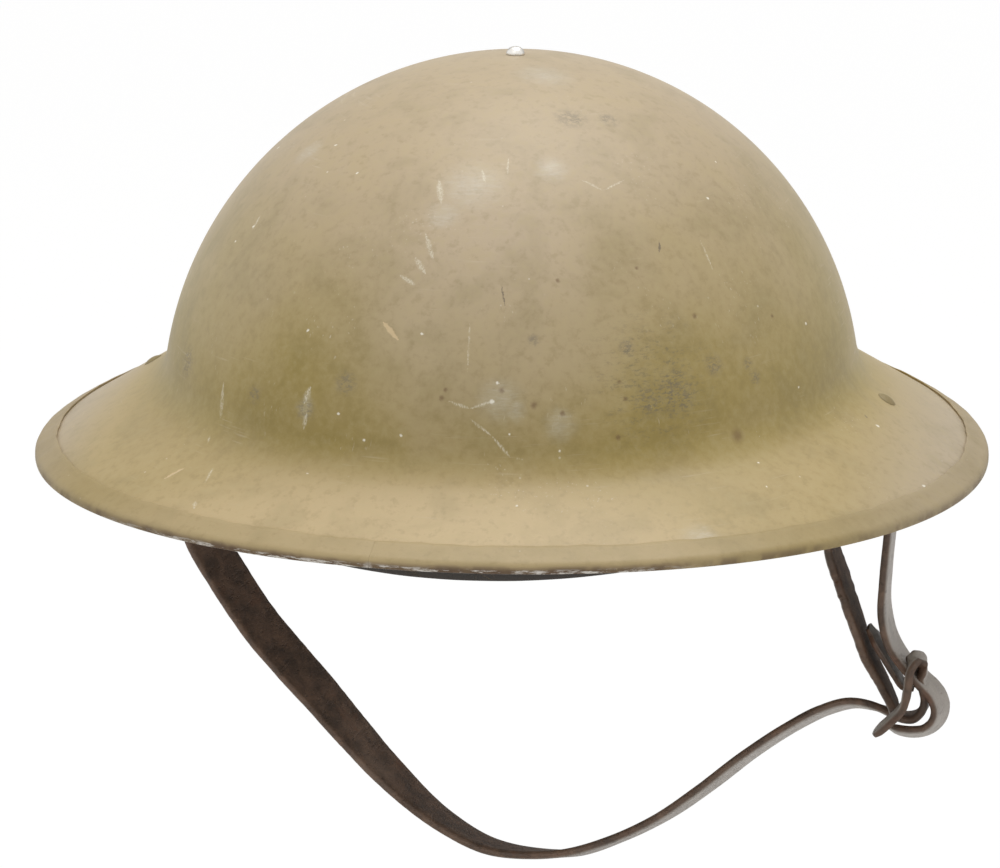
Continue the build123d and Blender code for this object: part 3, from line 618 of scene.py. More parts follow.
bright_rivet, start, place = new_finish("bright_rivet")
hammered = place.noise(0.0012, 3, 0.6)
dirt = place.noise(0.0009, 4, 0.7).step(0.55, 0.75)
start.surface(
    Base_Color=hammered.tint((0.62, 0.60, 0.56), (0.80, 0.78, 0.74)).coats((dirt * 0.6, (0.16, 0.12, 0.08))),
    Metallic=0.92,
    Roughness=(0.26 + hammered * 0.2 + dirt * 0.3).held(),
    Normal=hammered.bump(0.5, 0.0003),
).finish()
crown_height = bowl_base + bowl_radius
crown_pin = Pile()
crown_outline = (
    (0.1, 2.4), (0.7, 2.37), (1.3, 2.22), (1.8, 1.96), (2.2, 1.6), (2.5, 1.18), (2.7, 0.7), (2.75, 0.3),
    (2.7, 0), (1.6, 0), (1.6, -15.5), (3.2, -15.6), (3.2, -16.4), (2.6, -16.6), (0.1, -16.6),
)
turned(crown_pin, crown_outline, seat_at((0, 0, crown_height + hair_gap), (0, 0, 1)))
crown_piece = crown_pin.make("crown_pin", bright_rivet, "helmet", sharp=35)
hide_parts("crown_rivet")

painted_rivet, start, place = new_finish("painted_rivet")
base, cloud, fine = khaki(place)
start.surface(
    Base_Color=base.coats((0.60, (0.15, 0.12, 0.045)), (cloud.step(0.4, 0.7) * 0.5, (0.22, 0.155, 0.07))),
    Roughness=0.5 + fine * 0.1,
    Normal=fine.bump(0.4, 0.0004),
).finish()
lug_offset = 0.1145
lug_outline = (
    (0.1, 0.9), (0.8, 0.87), (1.5, 0.74), (2.2, 0.48), (2.7, 0.22), (3.0, 0.04), (3.0, 0), (1.5, 0),
    (1.5, -2.2), (2.2, -2.3), (2.2, -3.0), (1.8, -3.2), (0.1, -3.2),
)
for side_name, hand in (("left", -1), ("right", 1)):
    lug_pin = Pile()
    brim_normal = (hand * sin(brim_slope), 0, cos(brim_slope))
    lug_seat = Vector((hand * lug_offset, 0, brim_height(lug_offset, 0))) + Vector(brim_normal) * hair_gap
    turned(lug_pin, lug_outline, seat_at(lug_seat, brim_normal))
    lug_piece = lug_pin.make(side_name + "_lug_pin", painted_rivet, "helmet", sharp=35)
    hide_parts(side_name + "_lug_rivet")

# Lugs and bails
# A small folded lug hangs under the brim on each side, and a wire bail with two legs turns in its eye. The
# wire's ends meet inside the lug. All of it is browned steel, and so is the washer under the crown.
dark_steel, start, place = new_finish("browned_steel")
bloom = place.noise(0.004, 4, 0.7)
grit = place.noise(0.0006, 3, 0.7)
worn_steel = place.noise(0.0025, 3, 0.6).step(0.56, 0.70)
start.surface(
    Base_Color=bloom.tint((0.075, 0.060, 0.050), (0.150, 0.120, 0.095)).coats(
        (worn_steel * 0.6, (0.34, 0.32, 0.29)),
        (bloom.step(0.58, 0.70) * 0.6, (0.160, 0.070, 0.030)),
    ),
    Metallic=0.75,
    Roughness=(0.42 + grit * 0.2 + bloom * 0.1).held(),
    Normal=grit.bump(0.4, 0.0003),
).finish()
for node_name in ("left_lug", "right_lug", "crown_washer"):
    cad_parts[node_name].data.materials.clear()
    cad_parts[node_name].data.materials.append(dark_steel)
bail_offset, bail_height, bail_leg, bail_wire_radius = 0.1085, 0.0155, 0.006, 0.0014
bail_radius, bail_corner, bail_straight, wire_join = 0.015, 0.003, 0.0015, 0.0004
bail_centre, bail_eye = bail_height - bail_leg, 0.006


def bend(across, height, radius, turns):
    """Points of a bend in the wire round a middle, at turns in degrees"""
    return [(across + radius * cos(radians(turn)), height + radius * sin(radians(turn))) for turn in turns]


corner_across, corner_height = bail_radius - bail_corner, bail_height - bail_corner
bail_line = bend(0, bail_centre, bail_radius, range(180, 361, 6))
bail_line += [(bail_radius, bail_centre + bail_straight)]
bail_line += bend(corner_across, corner_height, bail_corner, range(0, 91, 15))
bail_line += [(bail_eye, bail_height), (wire_join, bail_height), (-bail_eye, bail_height)]
bail_line += bend(-corner_across, corner_height, bail_corner, range(90, 181, 15))
bail_line += [(-bail_radius, bail_centre + bail_straight)]
for side_name, hand in (("left", -1), ("right", 1)):
    wire = Pile()
    wire.tube([(hand * bail_offset, y, z) for y, z in bail_line], bail_wire_radius, sides=16, loop=True)
    wire_piece = wire.make(side_name + "_wire_bail", dark_steel, side_name + "_bail")
    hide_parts(side_name + "_bail")

# Headband
# The band that grips the head is oilcloth over stiff cloth, folded at both edges and sewn along them.
# It is black and dull with cracks in its skin, and a row of stitches runs near its top and its bottom.
head_half_width, head_half_length, headband_sheet = 0.084, 0.099, 0.0018
headband_bottom, headband_top = -0.017, 0.043
stitch_inset, stitch_pitch, thread_radius = 0.004, 0.0042, 0.00032
stitch_form = ((0.12, -0.6, 0.5), (0.22, 0.35, 0.9), (0.5, 0.75, 1.0), (0.78, 0.35, 0.9), (0.88, -0.6, 0.5))


def strip_outline(width, sheet, steps, round_share=0.42):
    """Section of a flat strip: how far across and how far out each point lies, with its side and its edge"""
    curve = sheet * round_share
    outline = []
    for face in (1, -1):
        spans = [face * (width / 2 - curve) * (1 - 2 * step / steps) for step in range(steps + 1)]
        outline += [(span, face * sheet / 2, face, (abs(span) / (width / 2)) ** 6) for span in spans]
        end = -face * width / 2
        turned_in = end * (1 - curve * 0.6 / width)
        for out, side in ((0.36, 0.4), (0.12, 0.0), (-0.12, 0.0), (-0.36, -0.4)):
            outline.append((turned_in if side else end, face * sheet * out, side * face, 1.0))
    return outline


def band_round(pile, half_width, half_length, sheet, bottom, top, wave, rows=10, count=240):
    """A band round the head: an oval strip that stands on edge, with a slight wave in it"""
    outline = strip_outline(top - bottom, sheet, rows)
    rings, sides, edges = [], [], []
    for step in range(count):
        turn = 2 * pi * step / count
        across, along = (half_width + sheet / 2) * cos(turn), (half_length + sheet / 2) * sin(turn)
        middle = Vector((across, along, (top + bottom) / 2))
        out = Vector((cos(turn) / half_width, sin(turn) / half_length, 0)).normalized()
        ring = []
        for up, lift, side, edge in outline:
            share = up / (top - bottom)
            ripple = wave * (sin(turn * 7 + share * 2.5) * 0.5 + sin(turn * 17 + share * 5 + 1.1) * 0.3)
            ripple += wave * 0.3 * sin(turn * 33 + share * 9)
            ring.append(middle + out * (lift + ripple) + Vector((0, 0, up)))
            sides.append(side)
            edges.append(edge)
        rings.append(ring)
    pile.rings(rings, loop=True, side=sides, edge=edges)


def sew(pile, line, outs, pitch, thread):
    """A row of stitches along a line of points, each standing a little out of the surface"""
    lengths = [0.0]
    for here, there in zip(line, line[1:]):
        lengths.append(lengths[-1] + (Vector(there) - Vector(here)).length)
    count = int(lengths[-1] / pitch)
    for index in range(count):
        stitch, radii = [], []
        for along, rise, thick in stitch_form:
            distance = (index + along) * lengths[-1] / count
            here = min(max(np.searchsorted(lengths, distance) - 1, 0), len(line) - 2)
            share = (distance - lengths[here]) / max(lengths[here + 1] - lengths[here], 1e-9)
            out = Vector(outs[here]).lerp(Vector(outs[here + 1]), share)
            spot = Vector(line[here]).lerp(Vector(line[here + 1]), share)
            stitch.append(spot + out.normalized() * rise * thread)
            radii.append(thick * thread)
        pile.tube(stitch, radii, sides=5)


def oval_line(half_width, half_length, height, count=240):
    """Points round an oval at a height, with the way out at each"""
    turns = [2 * pi * step / count for step in range(count + 1)]
    line = [(half_width * cos(turn), half_length * sin(turn), height) for turn in turns]
    outs = [Vector((cos(turn) / half_width, sin(turn) / half_length, 0)).normalized() for turn in turns]
    return line, outs


oilcloth, start, place = new_finish("oilcloth")
crackle = place.vector("MULTIPLY", (1, 1, 1.6)).cells(0.0045, "DISTANCE_TO_EDGE").step(0.045, 0.0)
crackle = crackle * place.noise(0.012, 3).step(0.45, 0.62)
weave = place.noise(0.0009, 2, 0.5, (1, 1, 0.35))
dust = place.noise(0.014, 4, 0.6).step(0.48, 0.72)
edge = start.attribute("edge")
start.surface(
    Base_Color=weave.tint((0.022, 0.019, 0.017), (0.048, 0.042, 0.037)).coats(
        (dust * 0.20, (0.12, 0.10, 0.075)),
        (crackle * 0.7, (0.15, 0.115, 0.075)),
        (edge.step(0.5, 1.0) * 0.15, (0.10, 0.075, 0.05)),
    ),
    Roughness=(0.50 + weave * 0.2 + dust * 0.2 + crackle * 0.2).held(),
    Coat_Weight=0.06,
    Normal=(weave * 0.5 - crackle * 0.9).bump(0.5, 0.0005),
).finish()
pale_thread, start, place = new_finish("linen_thread")
ply = place.noise(0.0006, 2, 0.6)
start.surface(
    Base_Color=ply.tint((0.24, 0.19, 0.12), (0.46, 0.39, 0.27)),
    Roughness=0.85,
    Normal=ply.bump(0.6, 0.0003),
).finish()
headband = Pile()
headband_skin = headband_sheet - 0.0003
band_round(headband, head_half_width, head_half_length, headband_skin, headband_bottom, headband_top, 0.00012)
headband_piece = headband.make("oilcloth_headband", oilcloth, "helmet", sharp=60)
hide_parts("headband")
headband_thread = Pile()
for stitch_height in (headband_bottom + stitch_inset, headband_top - stitch_inset):
    for gap, way in ((hair_gap, -1), (headband_sheet - 2 * hair_gap, 1)):
        line, outs = oval_line(head_half_width + gap, head_half_length + gap, stitch_height)
        sew(headband_thread, line, [out * way for out in outs], stitch_pitch, thread_radius)
headband_thread.make("headband_thread", pale_thread, "helmet")

# Outer band
# A plain leather band lies outside the headband and carries the rubber buffers. Its edges are cut square and
# waxed. The leather is brown, darker in the pores and rubbed lighter along the edges.


def leather(name, deep, middle, rubbed, grey, grey_and_painted_light_reach, rough):
    """Leather with a grain side, a rough side and cut edges. Its grain side greys from one X to another,
    partly as grey worn leather and partly as painted light: a painted reflection towards the higher X and
    painted shade towards the lower.
    """
    material, start, place = new_finish(name)
    side, edge = start.attribute("side"), start.attribute("edge")
    pores = place.cells(0.0011).step(0.10, 0.45)
    lumps = place.noise(0.006, 4, 0.6, swirl=0.3)
    broad = place.noise(0.028, 3, 0.6)
    fibre = place.noise(0.0012, 4, 0.75, (0.6, 0.6, 2.2))
    creases = place.noise(0.0035, 3, 0.7, (1.6, 0.5, 1.6)).step(0.56, 0.66)
    grain_share = side.step(0.1, 0.7)
    grey_and_painted_light_share = place.parts(0).step(*grey_and_painted_light_reach)
    rough_share = side.step(-0.1, -0.7)
    height = pores * 0.35 * grain_share + fibre * (0.25 + rough_share * 0.35) + lumps * 0.5 - creases * 0.5
    start.surface(
        Base_Color=lumps.step(0.3, 0.7).tint(deep, middle).coats(
            (broad.step(0.55, 0.75) * 0.45, rubbed),
            (place.noise(0.011, 3, 0.6).step(0.56, 0.72) * 0.5, (0.15, 0.062, 0.030)),
            # Partly painted light: the grain side greyer to the right as a painted reflection, darker to the
            # left as painted shade.
            ((grain_share * (0.45 + lumps * 0.7) * grey_and_painted_light_share).held(), grey),
            (rough_share * fibre.step(0.45, 0.7) * 0.16, rubbed),
            (edge.step(0.35, 1.0) * (lumps * 0.9) * 0.22, rubbed),
            (creases * 0.35, deep),
        ),
        Roughness=(rough + rough_share * 0.25 + (fibre - 0.5) * 0.2 - grain_share * 0.08).held(),
        Normal=height.bump(0.55, 0.0006),
    ).finish()
    return material


outer_sheet, outer_bottom, outer_top, play = 0.0016, 0.006, 0.040, 0.0003
outer_half_width = head_half_width + headband_sheet + play
outer_half_length = head_half_length + headband_sheet + play
liner_leather = leather(
    "liner_leather", deep=(0.090, 0.048, 0.024), middle=(0.190, 0.105, 0.052), rubbed=(0.310, 0.195, 0.105),
    grey=(0.26, 0.20, 0.14), grey_and_painted_light_reach=(-0.2, 0.3), rough=0.55,
)
outer_band = Pile()
outer_oval = (outer_half_width + 2 * hair_gap, outer_half_length + 2 * hair_gap)
band_round(outer_band, *outer_oval, outer_sheet - 0.0002, outer_bottom, outer_top, 0.00006, rows=6)
outer_piece = outer_band.make("leather_outer_band", liner_leather, "helmet", sharp=60)
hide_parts("outer_band")

# Rubber buffers
# Twelve short lengths of rubber tube stand between the outer band and the bowl and keep the steel off the
# head. The rubber has gone hard and dull, with fine cracks and a bloom of grey.
perished, start, place = new_finish("perished_rubber")
cracks = place.vector("MULTIPLY", (1, 1, 0.45)).cells(0.0016, "DISTANCE_TO_EDGE").step(0.06, 0.0)
bloom = place.noise(0.005, 4, 0.7)
rubber = bloom.tint((0.040, 0.032, 0.028), (0.115, 0.095, 0.080))
start.surface(
    Base_Color=rubber.coats((cracks * 0.6, (0.018, 0.015, 0.013))),
    Roughness=(0.62 + bloom * 0.2).held(),
    Normal=(bloom * 0.4 - cracks).bump(0.5, 0.0004),
).finish()
buffer_count, buffer_sides, buffer_bottom, buffer_top, buffer_wall, lip = 12, 28, 0.008, 0.038, 0.0026, 0.0006
band_outside_width, band_outside_length = outer_half_width + outer_sheet, outer_half_length + outer_sheet
bowl_inside = bowl_radius - wall
buffer_clearance = 0.0008
buffer_room = sqrt(bowl_inside**2 - (buffer_top - bowl_base) ** 2) - band_outside_width - buffer_clearance
buffer_radius = buffer_room / 2
buffer_inner, half_lip = buffer_radius - buffer_wall, lip * 0.3
tube_outline = [(buffer_radius - lip, buffer_bottom), (buffer_radius - half_lip, buffer_bottom + half_lip)]
tube_outline += [(buffer_radius, buffer_bottom + lip)]
for step in range(1, 6):
    waist = 0.00012 * sin(pi * step / 6)
    tube_outline.append((buffer_radius - waist, buffer_bottom + (buffer_top - buffer_bottom) * step / 6))
tube_outline += [(buffer_radius, buffer_top - lip), (buffer_radius - half_lip, buffer_top - half_lip)]
tube_outline += [(buffer_radius - lip, buffer_top), (buffer_inner + lip, buffer_top)]
tube_outline += [(buffer_inner + half_lip, buffer_top - half_lip), (buffer_inner, buffer_top - lip)]
tube_outline += [(buffer_inner, (buffer_top + buffer_bottom) / 2), (buffer_inner, buffer_bottom + lip)]
tube_outline += [(buffer_inner + half_lip, buffer_bottom + half_lip), (buffer_inner + lip, buffer_bottom)]
circle = [2 * pi * step / buffer_sides for step in range(buffer_sides)]
tubes = Pile()
for index in range(buffer_count):
    turn = 2 * pi * (index + 0.5) / buffer_count
    out = Vector((band_outside_length * cos(turn), band_outside_width * sin(turn), 0)).normalized()
    on_band = Vector((band_outside_width * cos(turn), band_outside_length * sin(turn), 0))
    middle = on_band + out * (buffer_radius + play)
    rings = []
    for reach, height in tube_outline:
        rings.append([middle + Vector((reach * cos(a), reach * sin(a), height)) for a in circle])
    tubes.rings(rings, loop=True)
tubes_piece = tubes.make("rubber_tubes", perished, "helmet", sharp=50)
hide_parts("rubber_buffers")

# Harness
# Two leather straps cross under the crown and hold the liner up. Each is sewn along both edges.
# Their feet lie outside the outer band, and a brass rivet goes through each foot and both bands.
crown_inside = bowl_base + bowl_inside
strap_sheet, strap_half, harness_foot, foot_rivet_height = 0.0016, 0.0125, 0.0202, 0.030
seam_inset, seam_pitch, seam_thread, crown_clearance = 0.0022, 0.0038, 0.00028, 0.0019
ear_crown = crown_inside - crown_clearance
ear_span = outer_half_width + outer_sheet + play + strap_sheet
brow_span = outer_half_length + outer_sheet + play + strap_sheet
ear_sag = (ear_crown - headband_top) * (1 - sqrt(1 - (strap_half / ear_span) ** 2))
brow_crown = ear_crown - strap_sheet - ear_sag - hair_gap


def ribbon(pile, line, sides, widths, sheets, rows, shift=None, smooth_side=1):
    """A flat strap through a line of points. sides are the ways across it, and shift moves its two edges."""
    rings, face_values, edge_values = [], [], []
    for index, point in enumerate(line):
        along = (line[min(index + 1, len(line) - 1)] - line[max(index - 1, 0)]).normalized()
        side = sides[index]
        side = (side - along * side.dot(along)).normalized()
        lift = along.cross(side)
        left, right = shift[index] if shift else (0.0, 0.0)
        ring = []
        for across, out, face, edge in strip_outline(widths[index], sheets[index], rows):
            outer_share = min(1.0, abs(across) * 2 / max(widths[index], 1e-6)) ** 2
            ring.append(point + side * (across + (right if across > 0 else left) * outer_share) + lift * out)
            face_values.append(face * smooth_side)
            edge_values.append(edge)
        rings.append(ring)
    pile.rings(rings, side=face_values, edge=edge_values)


def arch(span, crown, foot, inset, count=72):
    """Half an oval on two upright feet: how far across and how high its points lie, from end to end"""
    reach, rise, leg = span - inset, crown - inset - headband_top, headband_top - foot
    points = [(reach, foot + leg * step / 6) for step in range(6)]
    for step in range(count + 1):
        turn = pi * step / count
        points.append((reach * cos(turn), headband_top + rise * sin(turn)))
    return points + [(-reach, headband_top - leg * step / 6) for step in range(1, 7)]


harness = Pile()
harness_thread = Pile()
for span, crown, along_x in ((ear_span, ear_crown, True), (brow_span, brow_crown, False)):
    middle = arch(span, crown, harness_foot, strap_sheet / 2)
    across_way = Vector((0, 1, 0)) if along_x else Vector((1, 0, 0))
    places = [Vector((x, 0, z)) if along_x else Vector((0, x, z)) for x, z in middle]
    tip = (0.55, 0.9)
    widths = [2 * strap_half * share for share in (*tip, *[1.0] * (len(places) - 4), *tip[::-1])]
    sheets = [strap_sheet - 2 * hair_gap] * len(places)
    ribbon(harness, places, [across_way] * len(places), widths, sheets, rows=6)
    for offset in (-strap_half + seam_inset, strap_half - seam_inset):
        for face in (1, -1):
            line, outs = [], []
            for index in range(2, len(places) - 2):
                along = (places[index + 1] - places[index - 1]).normalized()
                out = across_way.cross(along) if along_x else along.cross(across_way)
                level_part = Vector((places[index].x, places[index].y, 0))
                out = out if out.z + out.dot(level_part) > 0 else -out
                line.append(places[index] + across_way * offset + out * face * (strap_sheet / 2 - 0.00008))
                outs.append(out * face)
            sew(harness_thread, line, outs, seam_pitch, seam_thread)
harness_piece = harness.make("harness_leather", liner_leather, "helmet", sharp=60)
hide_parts("harness_straps")
harness_thread.make("harness_thread", pale_thread, "helmet")

old_brass, start, place = new_finish("old_brass")
tarnish = place.noise(0.003, 4, 0.7)
scrapes = place.noise(0.0007, 2, 0.6, (1, 1, 0.2)).step(0.6, 0.72)
start.surface(
    Base_Color=tarnish.tint((0.22, 0.145, 0.060), (0.46, 0.33, 0.15)).coats(
        (tarnish.step(0.56, 0.70) * 0.5, (0.09, 0.10, 0.065)),
        (scrapes * 0.6, (0.70, 0.54, 0.28)),
    ),
    Metallic=0.85,
    Roughness=(0.34 + tarnish * 0.25).held(),
    Normal=(tarnish - scrapes * 0.4).bump(0.35, 0.0003),
).finish()
foot_outline = (
    (0.1, 1.2), (1.2, 1.15), (2.2, 0.98), (3.1, 0.66), (3.7, 0.3), (4.0, 0.05), (3.9, 0), (1.5, 0),
    (1.5, -5.8), (3.0, -5.9), (3.0, -6.4), (2.6, -6.7), (0.1, -6.7),
)
foot_rivets = Pile()
for x, y in ((1, 0), (-1, 0), (0, 1), (0, -1)):
    spot = Vector((x * (ear_span + hair_gap), y * (brow_span + hair_gap), foot_rivet_height))
    turned(foot_rivets, foot_outline, seat_at(spot, (x, y, 0)), sides=32)
foot_piece = foot_rivets.make("liner_rivets", old_brass, "helmet", sharp=35)
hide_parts("harness_rivets")

# Crown pad
# A dished, rounded pad of felt lies over the net, held by the crown rivet and its washer.
# The felt is matted grey-brown wool, pulled in round the rivet.
pad_crown_top = brow_crown - strap_sheet - play
pad_crown_under = pad_crown_top - 0.007
pad_half_width, pad_sides = 0.045, 72
pad_half_length = pad_half_width * head_half_length / head_half_width


def under_crown(x, y, crown):
    """Height of the oval dome over the headband's top that has its crown at a height"""
    share = 1 - (x / head_half_width) ** 2 - (y / head_half_length) ** 2
    return headband_top + (crown - headband_top) * sqrt(max(share, 0))


pad_rings = []
pad_steps = [0.045, 0.10, 0.18, 0.27, 0.36, 0.45, 0.54, 0.63, 0.72, 0.80, 0.87, 0.93, 0.97]
for face in (1, -1):
    for share in pad_steps[::face]:
        swell = 0.35 + 0.50 * (1 - share**5)
        pull = 1 - 0.35 * max(0, 1 - share / 0.22) ** 2
        ring = []
        for step in range(pad_sides):
            turn = 2 * pi * step / pad_sides
            x, y = pad_half_width * share * cos(turn), pad_half_length * share * sin(turn)
            top, under = under_crown(x, y, pad_crown_top), under_crown(x, y, pad_crown_under)
            ring.append((x, y, (top + under) / 2 + face * (top - under) / 2 * swell * pull))
        pad_rings.append(ring)
pad = Pile()
pad.rings(pad_rings, loop=True)

felt, start, place = new_finish("matted_felt")
hairs = place.noise(0.0011, 5, 0.8, swirl=1.2)
mats = place.noise(0.008, 4, 0.65)
moth = place.cells(0.009).step(0.16, 0.10) * mats.step(0.5, 0.6)
start.surface(
    Base_Color=mats.tint((0.165, 0.145, 0.115), (0.290, 0.262, 0.215)).coats(
        (hairs.step(0.5, 0.75) * 0.4, (0.42, 0.39, 0.33)),
        (moth * 0.6, (0.09, 0.08, 0.06)),
    ),
    Roughness=0.95,
    Sheen_Weight=0.3,
    Normal=(hairs + mats * 0.7 - moth).bump(0.8, 0.0009),
).finish()
pad_piece = pad.make("felt_pad", felt, "helmet", sharp=80)
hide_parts("crown_pad")

# Twine net
# A net of cotton twine hangs from the headband's top and carries the helmet on the head. Two sets of cords
# cross and are knotted where they meet, and a drawn ring gathers their ends in the middle.
net_half_width, net_crown, net_length_share = head_half_width + 0.0008, 0.0992, 1.1786
net_first_ring, net_step, net_spokes, net_knot_rings = 0.016, 0.008, 20, 9
cord_radius, cord_steps, cord_top_angle, knot_half = 0.00068, 60, 6.5, 0.0015


def on_net(reach, turn, lift=0.0):
    """A place on the net at a reach across the head, lifted a little out of its dome"""
    height = sqrt(max(1 - min(reach / net_half_width, 1.0) ** 2, 0))
    out = Vector((cos(turn), sin(turn) / net_length_share, max(0.15, height) * 1.4)).normalized()
    rise = headband_top + (net_crown - headband_top) * height + 0.0006
    return Vector((reach * cos(turn), reach * net_length_share * sin(turn), rise)) + out * lift


net = Pile()
for hand in (1, -1):
    for spoke in range(net_spokes):
        line = []
        for step in range(cord_steps + 1):
            angle = cord_top_angle + (90 - cord_top_angle) * step / cord_steps
            reach = net_half_width * sin(radians(angle))
            turn = 2 * pi * spoke / net_spokes + hand * pi / net_spokes * (reach - net_first_ring) / net_step
            slack = 0.0004 * sin(spoke * 2.3 + hand + step * 0.35)
            line.append(on_net(reach, turn + slack * 6, hand * 0.0004 + slack * 0.3))
        net.tube(line, cord_radius, sides=7)
for ring in range(net_knot_rings):
    reach = net_first_ring + ring * net_step
    for spoke in range(net_spokes):
        turn = 2 * pi * (spoke + (ring % 2) / 2) / net_spokes
        middle = on_net(reach, turn)
        ahead = (on_net(reach + 0.002, turn) - middle).normalized() * knot_half
        knot = [middle + ahead * share for share in (-1, -0.6, 0, 0.6, 1)]
        net.tube(knot, [0.0008, 0.0014, 0.0016, 0.0014, 0.0008])
for reach, lift, radius in ((0.0098, 0.0, 0.0012), (0.0112, 0.0009, 0.0009)):
    net.tube([on_net(reach, 2 * pi * step / 60, lift) for step in range(60)], radius, loop=True)
net_edge = [on_net(net_half_width, 2 * pi * step / 180) + Vector((0, 0, 0.0004)) for step in range(180)]
net.tube(net_edge, 0.0009, loop=True)

twine, start, place = new_finish("net_twine")
strands = place.noise(0.0010, 3, 0.6)
soil = place.noise(0.016, 3, 0.6)
fuzz = place.noise(0.0004, 2, 0.7)
cotton = strands.tint((0.25, 0.195, 0.120), (0.47, 0.395, 0.275))
start.surface(
    Base_Color=cotton.coats((soil.step(0.45, 0.7) * 0.5, (0.165, 0.125, 0.075))),
    Roughness=0.9,
    Normal=(strands + fuzz * 0.5).bump(0.7, 0.0006),
).finish()
net_piece = net.make("knotted_net", twine, "helmet", sharp=70)
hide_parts("twine_net")

# Chin strap
# One long leather strap goes round the left bail, is lapped and riveted, runs under the chin and ends in a
# knot. Its grain side is smooth and greys to the right, partly worn grey and partly painted light: a painted
# reflection of the pale room on the right, painted shade on the left. Its flesh side is rough, and its edges
# are nicked.
strap_width, strap_thick, strap_drop, strap_loop_radius, strap_step = 0.019, 0.0025, 0.130, 0.008, 0.0012
bail_sag = sqrt(bail_radius**2 - (strap_width / 2) ** 2)
bail_play = 0.0011
strap_loop_top = bail_centre - bail_sag + bail_wire_radius * bail_radius / bail_sag + bail_play
strap_loop_centre = strap_loop_top + strap_thick / 2 - strap_loop_radius


def over_bail(hand):
    """Rows of a strap's middle line over a bail"""
    rows = []
    for turn in (180, 157, 135, 112, 90, 68, 45, 23, 0):
        across = hand * bail_offset + strap_loop_radius * cos(radians(turn))
        rows.append((across, 0, strap_loop_centre + strap_loop_radius * sin(radians(turn)), 0, 1))
    return rows


def from_shares(shares):
    """Rows of a strap's middle line: its place, its turn in degrees and the share of its width. A place comes
    as shares of the bails' offset and of the strap's drop."""
    return [(x * bail_offset, y * strap_drop, -z * strap_drop, *rest) for x, y, z, *rest in shares]


def smooth_run(rows, pitch):
    """The rows of a strap's middle line filled in smoothly, with a row at every pitch along it"""
    rows = np.array(rows, dtype=float)
    knots = np.concatenate([[0], np.cumsum(np.linalg.norm(np.diff(rows[:, :3], axis=0), axis=1))])
    slopes = np.gradient(rows, knots, axis=0)
    spots = np.linspace(0, knots[-1], int(knots[-1] / pitch) + 1)
    index = np.clip(np.searchsorted(knots, spots, side="right") - 1, 0, len(rows) - 2)
    length = (knots[index + 1] - knots[index])[:, None]
    t = (spots - knots[index])[:, None] / length
    bend = (2 * t**3 - 3 * t**2 + 1) * rows[index] + (t**3 - 2 * t**2 + t) * length * slopes[index]
    return bend + (3 * t**2 - 2 * t**3) * rows[index + 1] + (t**3 - t**2) * length * slopes[index + 1]


def strap(pile, rows, seed, nick=0.0004, sheet=strap_thick, smooth_side=1, torn_tip=0.0, frayed=0.0):
    """A length of strap along its rows, with wandering edges and rounded tips. torn_tip is how deep the first
    tip is torn, and frayed the share of the length, from that tip, that has rougher edges."""
    run = smooth_run(rows, strap_step)
    places = [Vector(row[:3]) for row in run]
    sides, widths, sheets, shifts = [], [], [], []
    for index, row in enumerate(run):
        along = (places[min(index + 1, len(run) - 1)] - places[max(index - 1, 0)]).normalized()
        across = (Vector((0, 1, 0)) - along * along.y).normalized()
        lift = along.cross(across)
        sides.append(across * cos(radians(row[3])) + lift * sin(radians(row[3])))
        from_end = min(index, len(run) - 1 - index)
        widths.append(strap_width * row[4] * (1 - 0.4 * max(0, 1 - from_end / 3) ** 2))
        sheets.append(sheet * (0.7 + 0.3 * min(1, from_end / 2)))
        fray = min(1, max(0, frayed - index / len(run)) * 12)
        bite = torn_tip * max(0, 1 - index / 7)
        shift = []
        for hand in (-1, 1):
            wander = noise.noise(Vector((index * 0.09, seed, hand * 7.0))) * nick
            nicks = noise.noise(Vector((index * 0.55, seed + 3, hand * 7.0))) * nick * (0.45 + 1.8 * fray)
            tear = max(0, noise.noise(Vector((index * 0.8, seed + 5, hand * 4.0))) + 0.3) * bite
            shift.append(wander + nicks - hand * tear)
        shifts.append(shift)
    ribbon(pile, places, sides, widths, sheets, 8, shifts, smooth_side)


lap_shares = (
    (-0.9705, 0, 0.239, 10, 1), (-0.9770, 0, 0.185, 6, 1), (-1.0046, 0, 0.135, 2, 1),
    (-1.0507, 0, 0.087, 0, 1),
)
left_run_shares = (
    (-0.9327, 0, 0.108, 0, 1), (-0.9475, 0, 0.169, 5, 1), (-0.9410, 0, 0.231, 9, 1),
    (-0.9190, 0, 0.286, 15, 1), (-0.8912, 0, 0.330, 18, 1), (-0.8470, 0, 0.389, 18, 1),
    (-0.7272, -0.008, 0.526, 17, 1),
    (-0.5659, -0.018, 0.669, 15, 1), (-0.4461, -0.026, 0.778, 10, 1), (-0.3373, -0.034, 0.868, 5, 1),
    (-0.1797, -0.040, 0.972, -6, 1), (-0.0581, -0.040, 1.022, -11, 1), (0.0866, -0.040, 1.034, -17, 1),
    (0.1806, -0.040, 1.026, -20, 1), (0.3244, -0.032, 0.981, -18, 1), (0.4488, -0.018, 0.924, -17, 1),
    (0.5724, -0.004, 0.845, -17, 1), (0.6940, 0.010, 0.758, -17, 1), (0.8175, 0.022, 0.683, -18, 1),
    (0.9014, 0.028, 0.642, -20, 0.95), (0.9834, 0.034, 0.621, -22, 0.85), (1.0500, 0.038, 0.629, -20, 0.75),
)
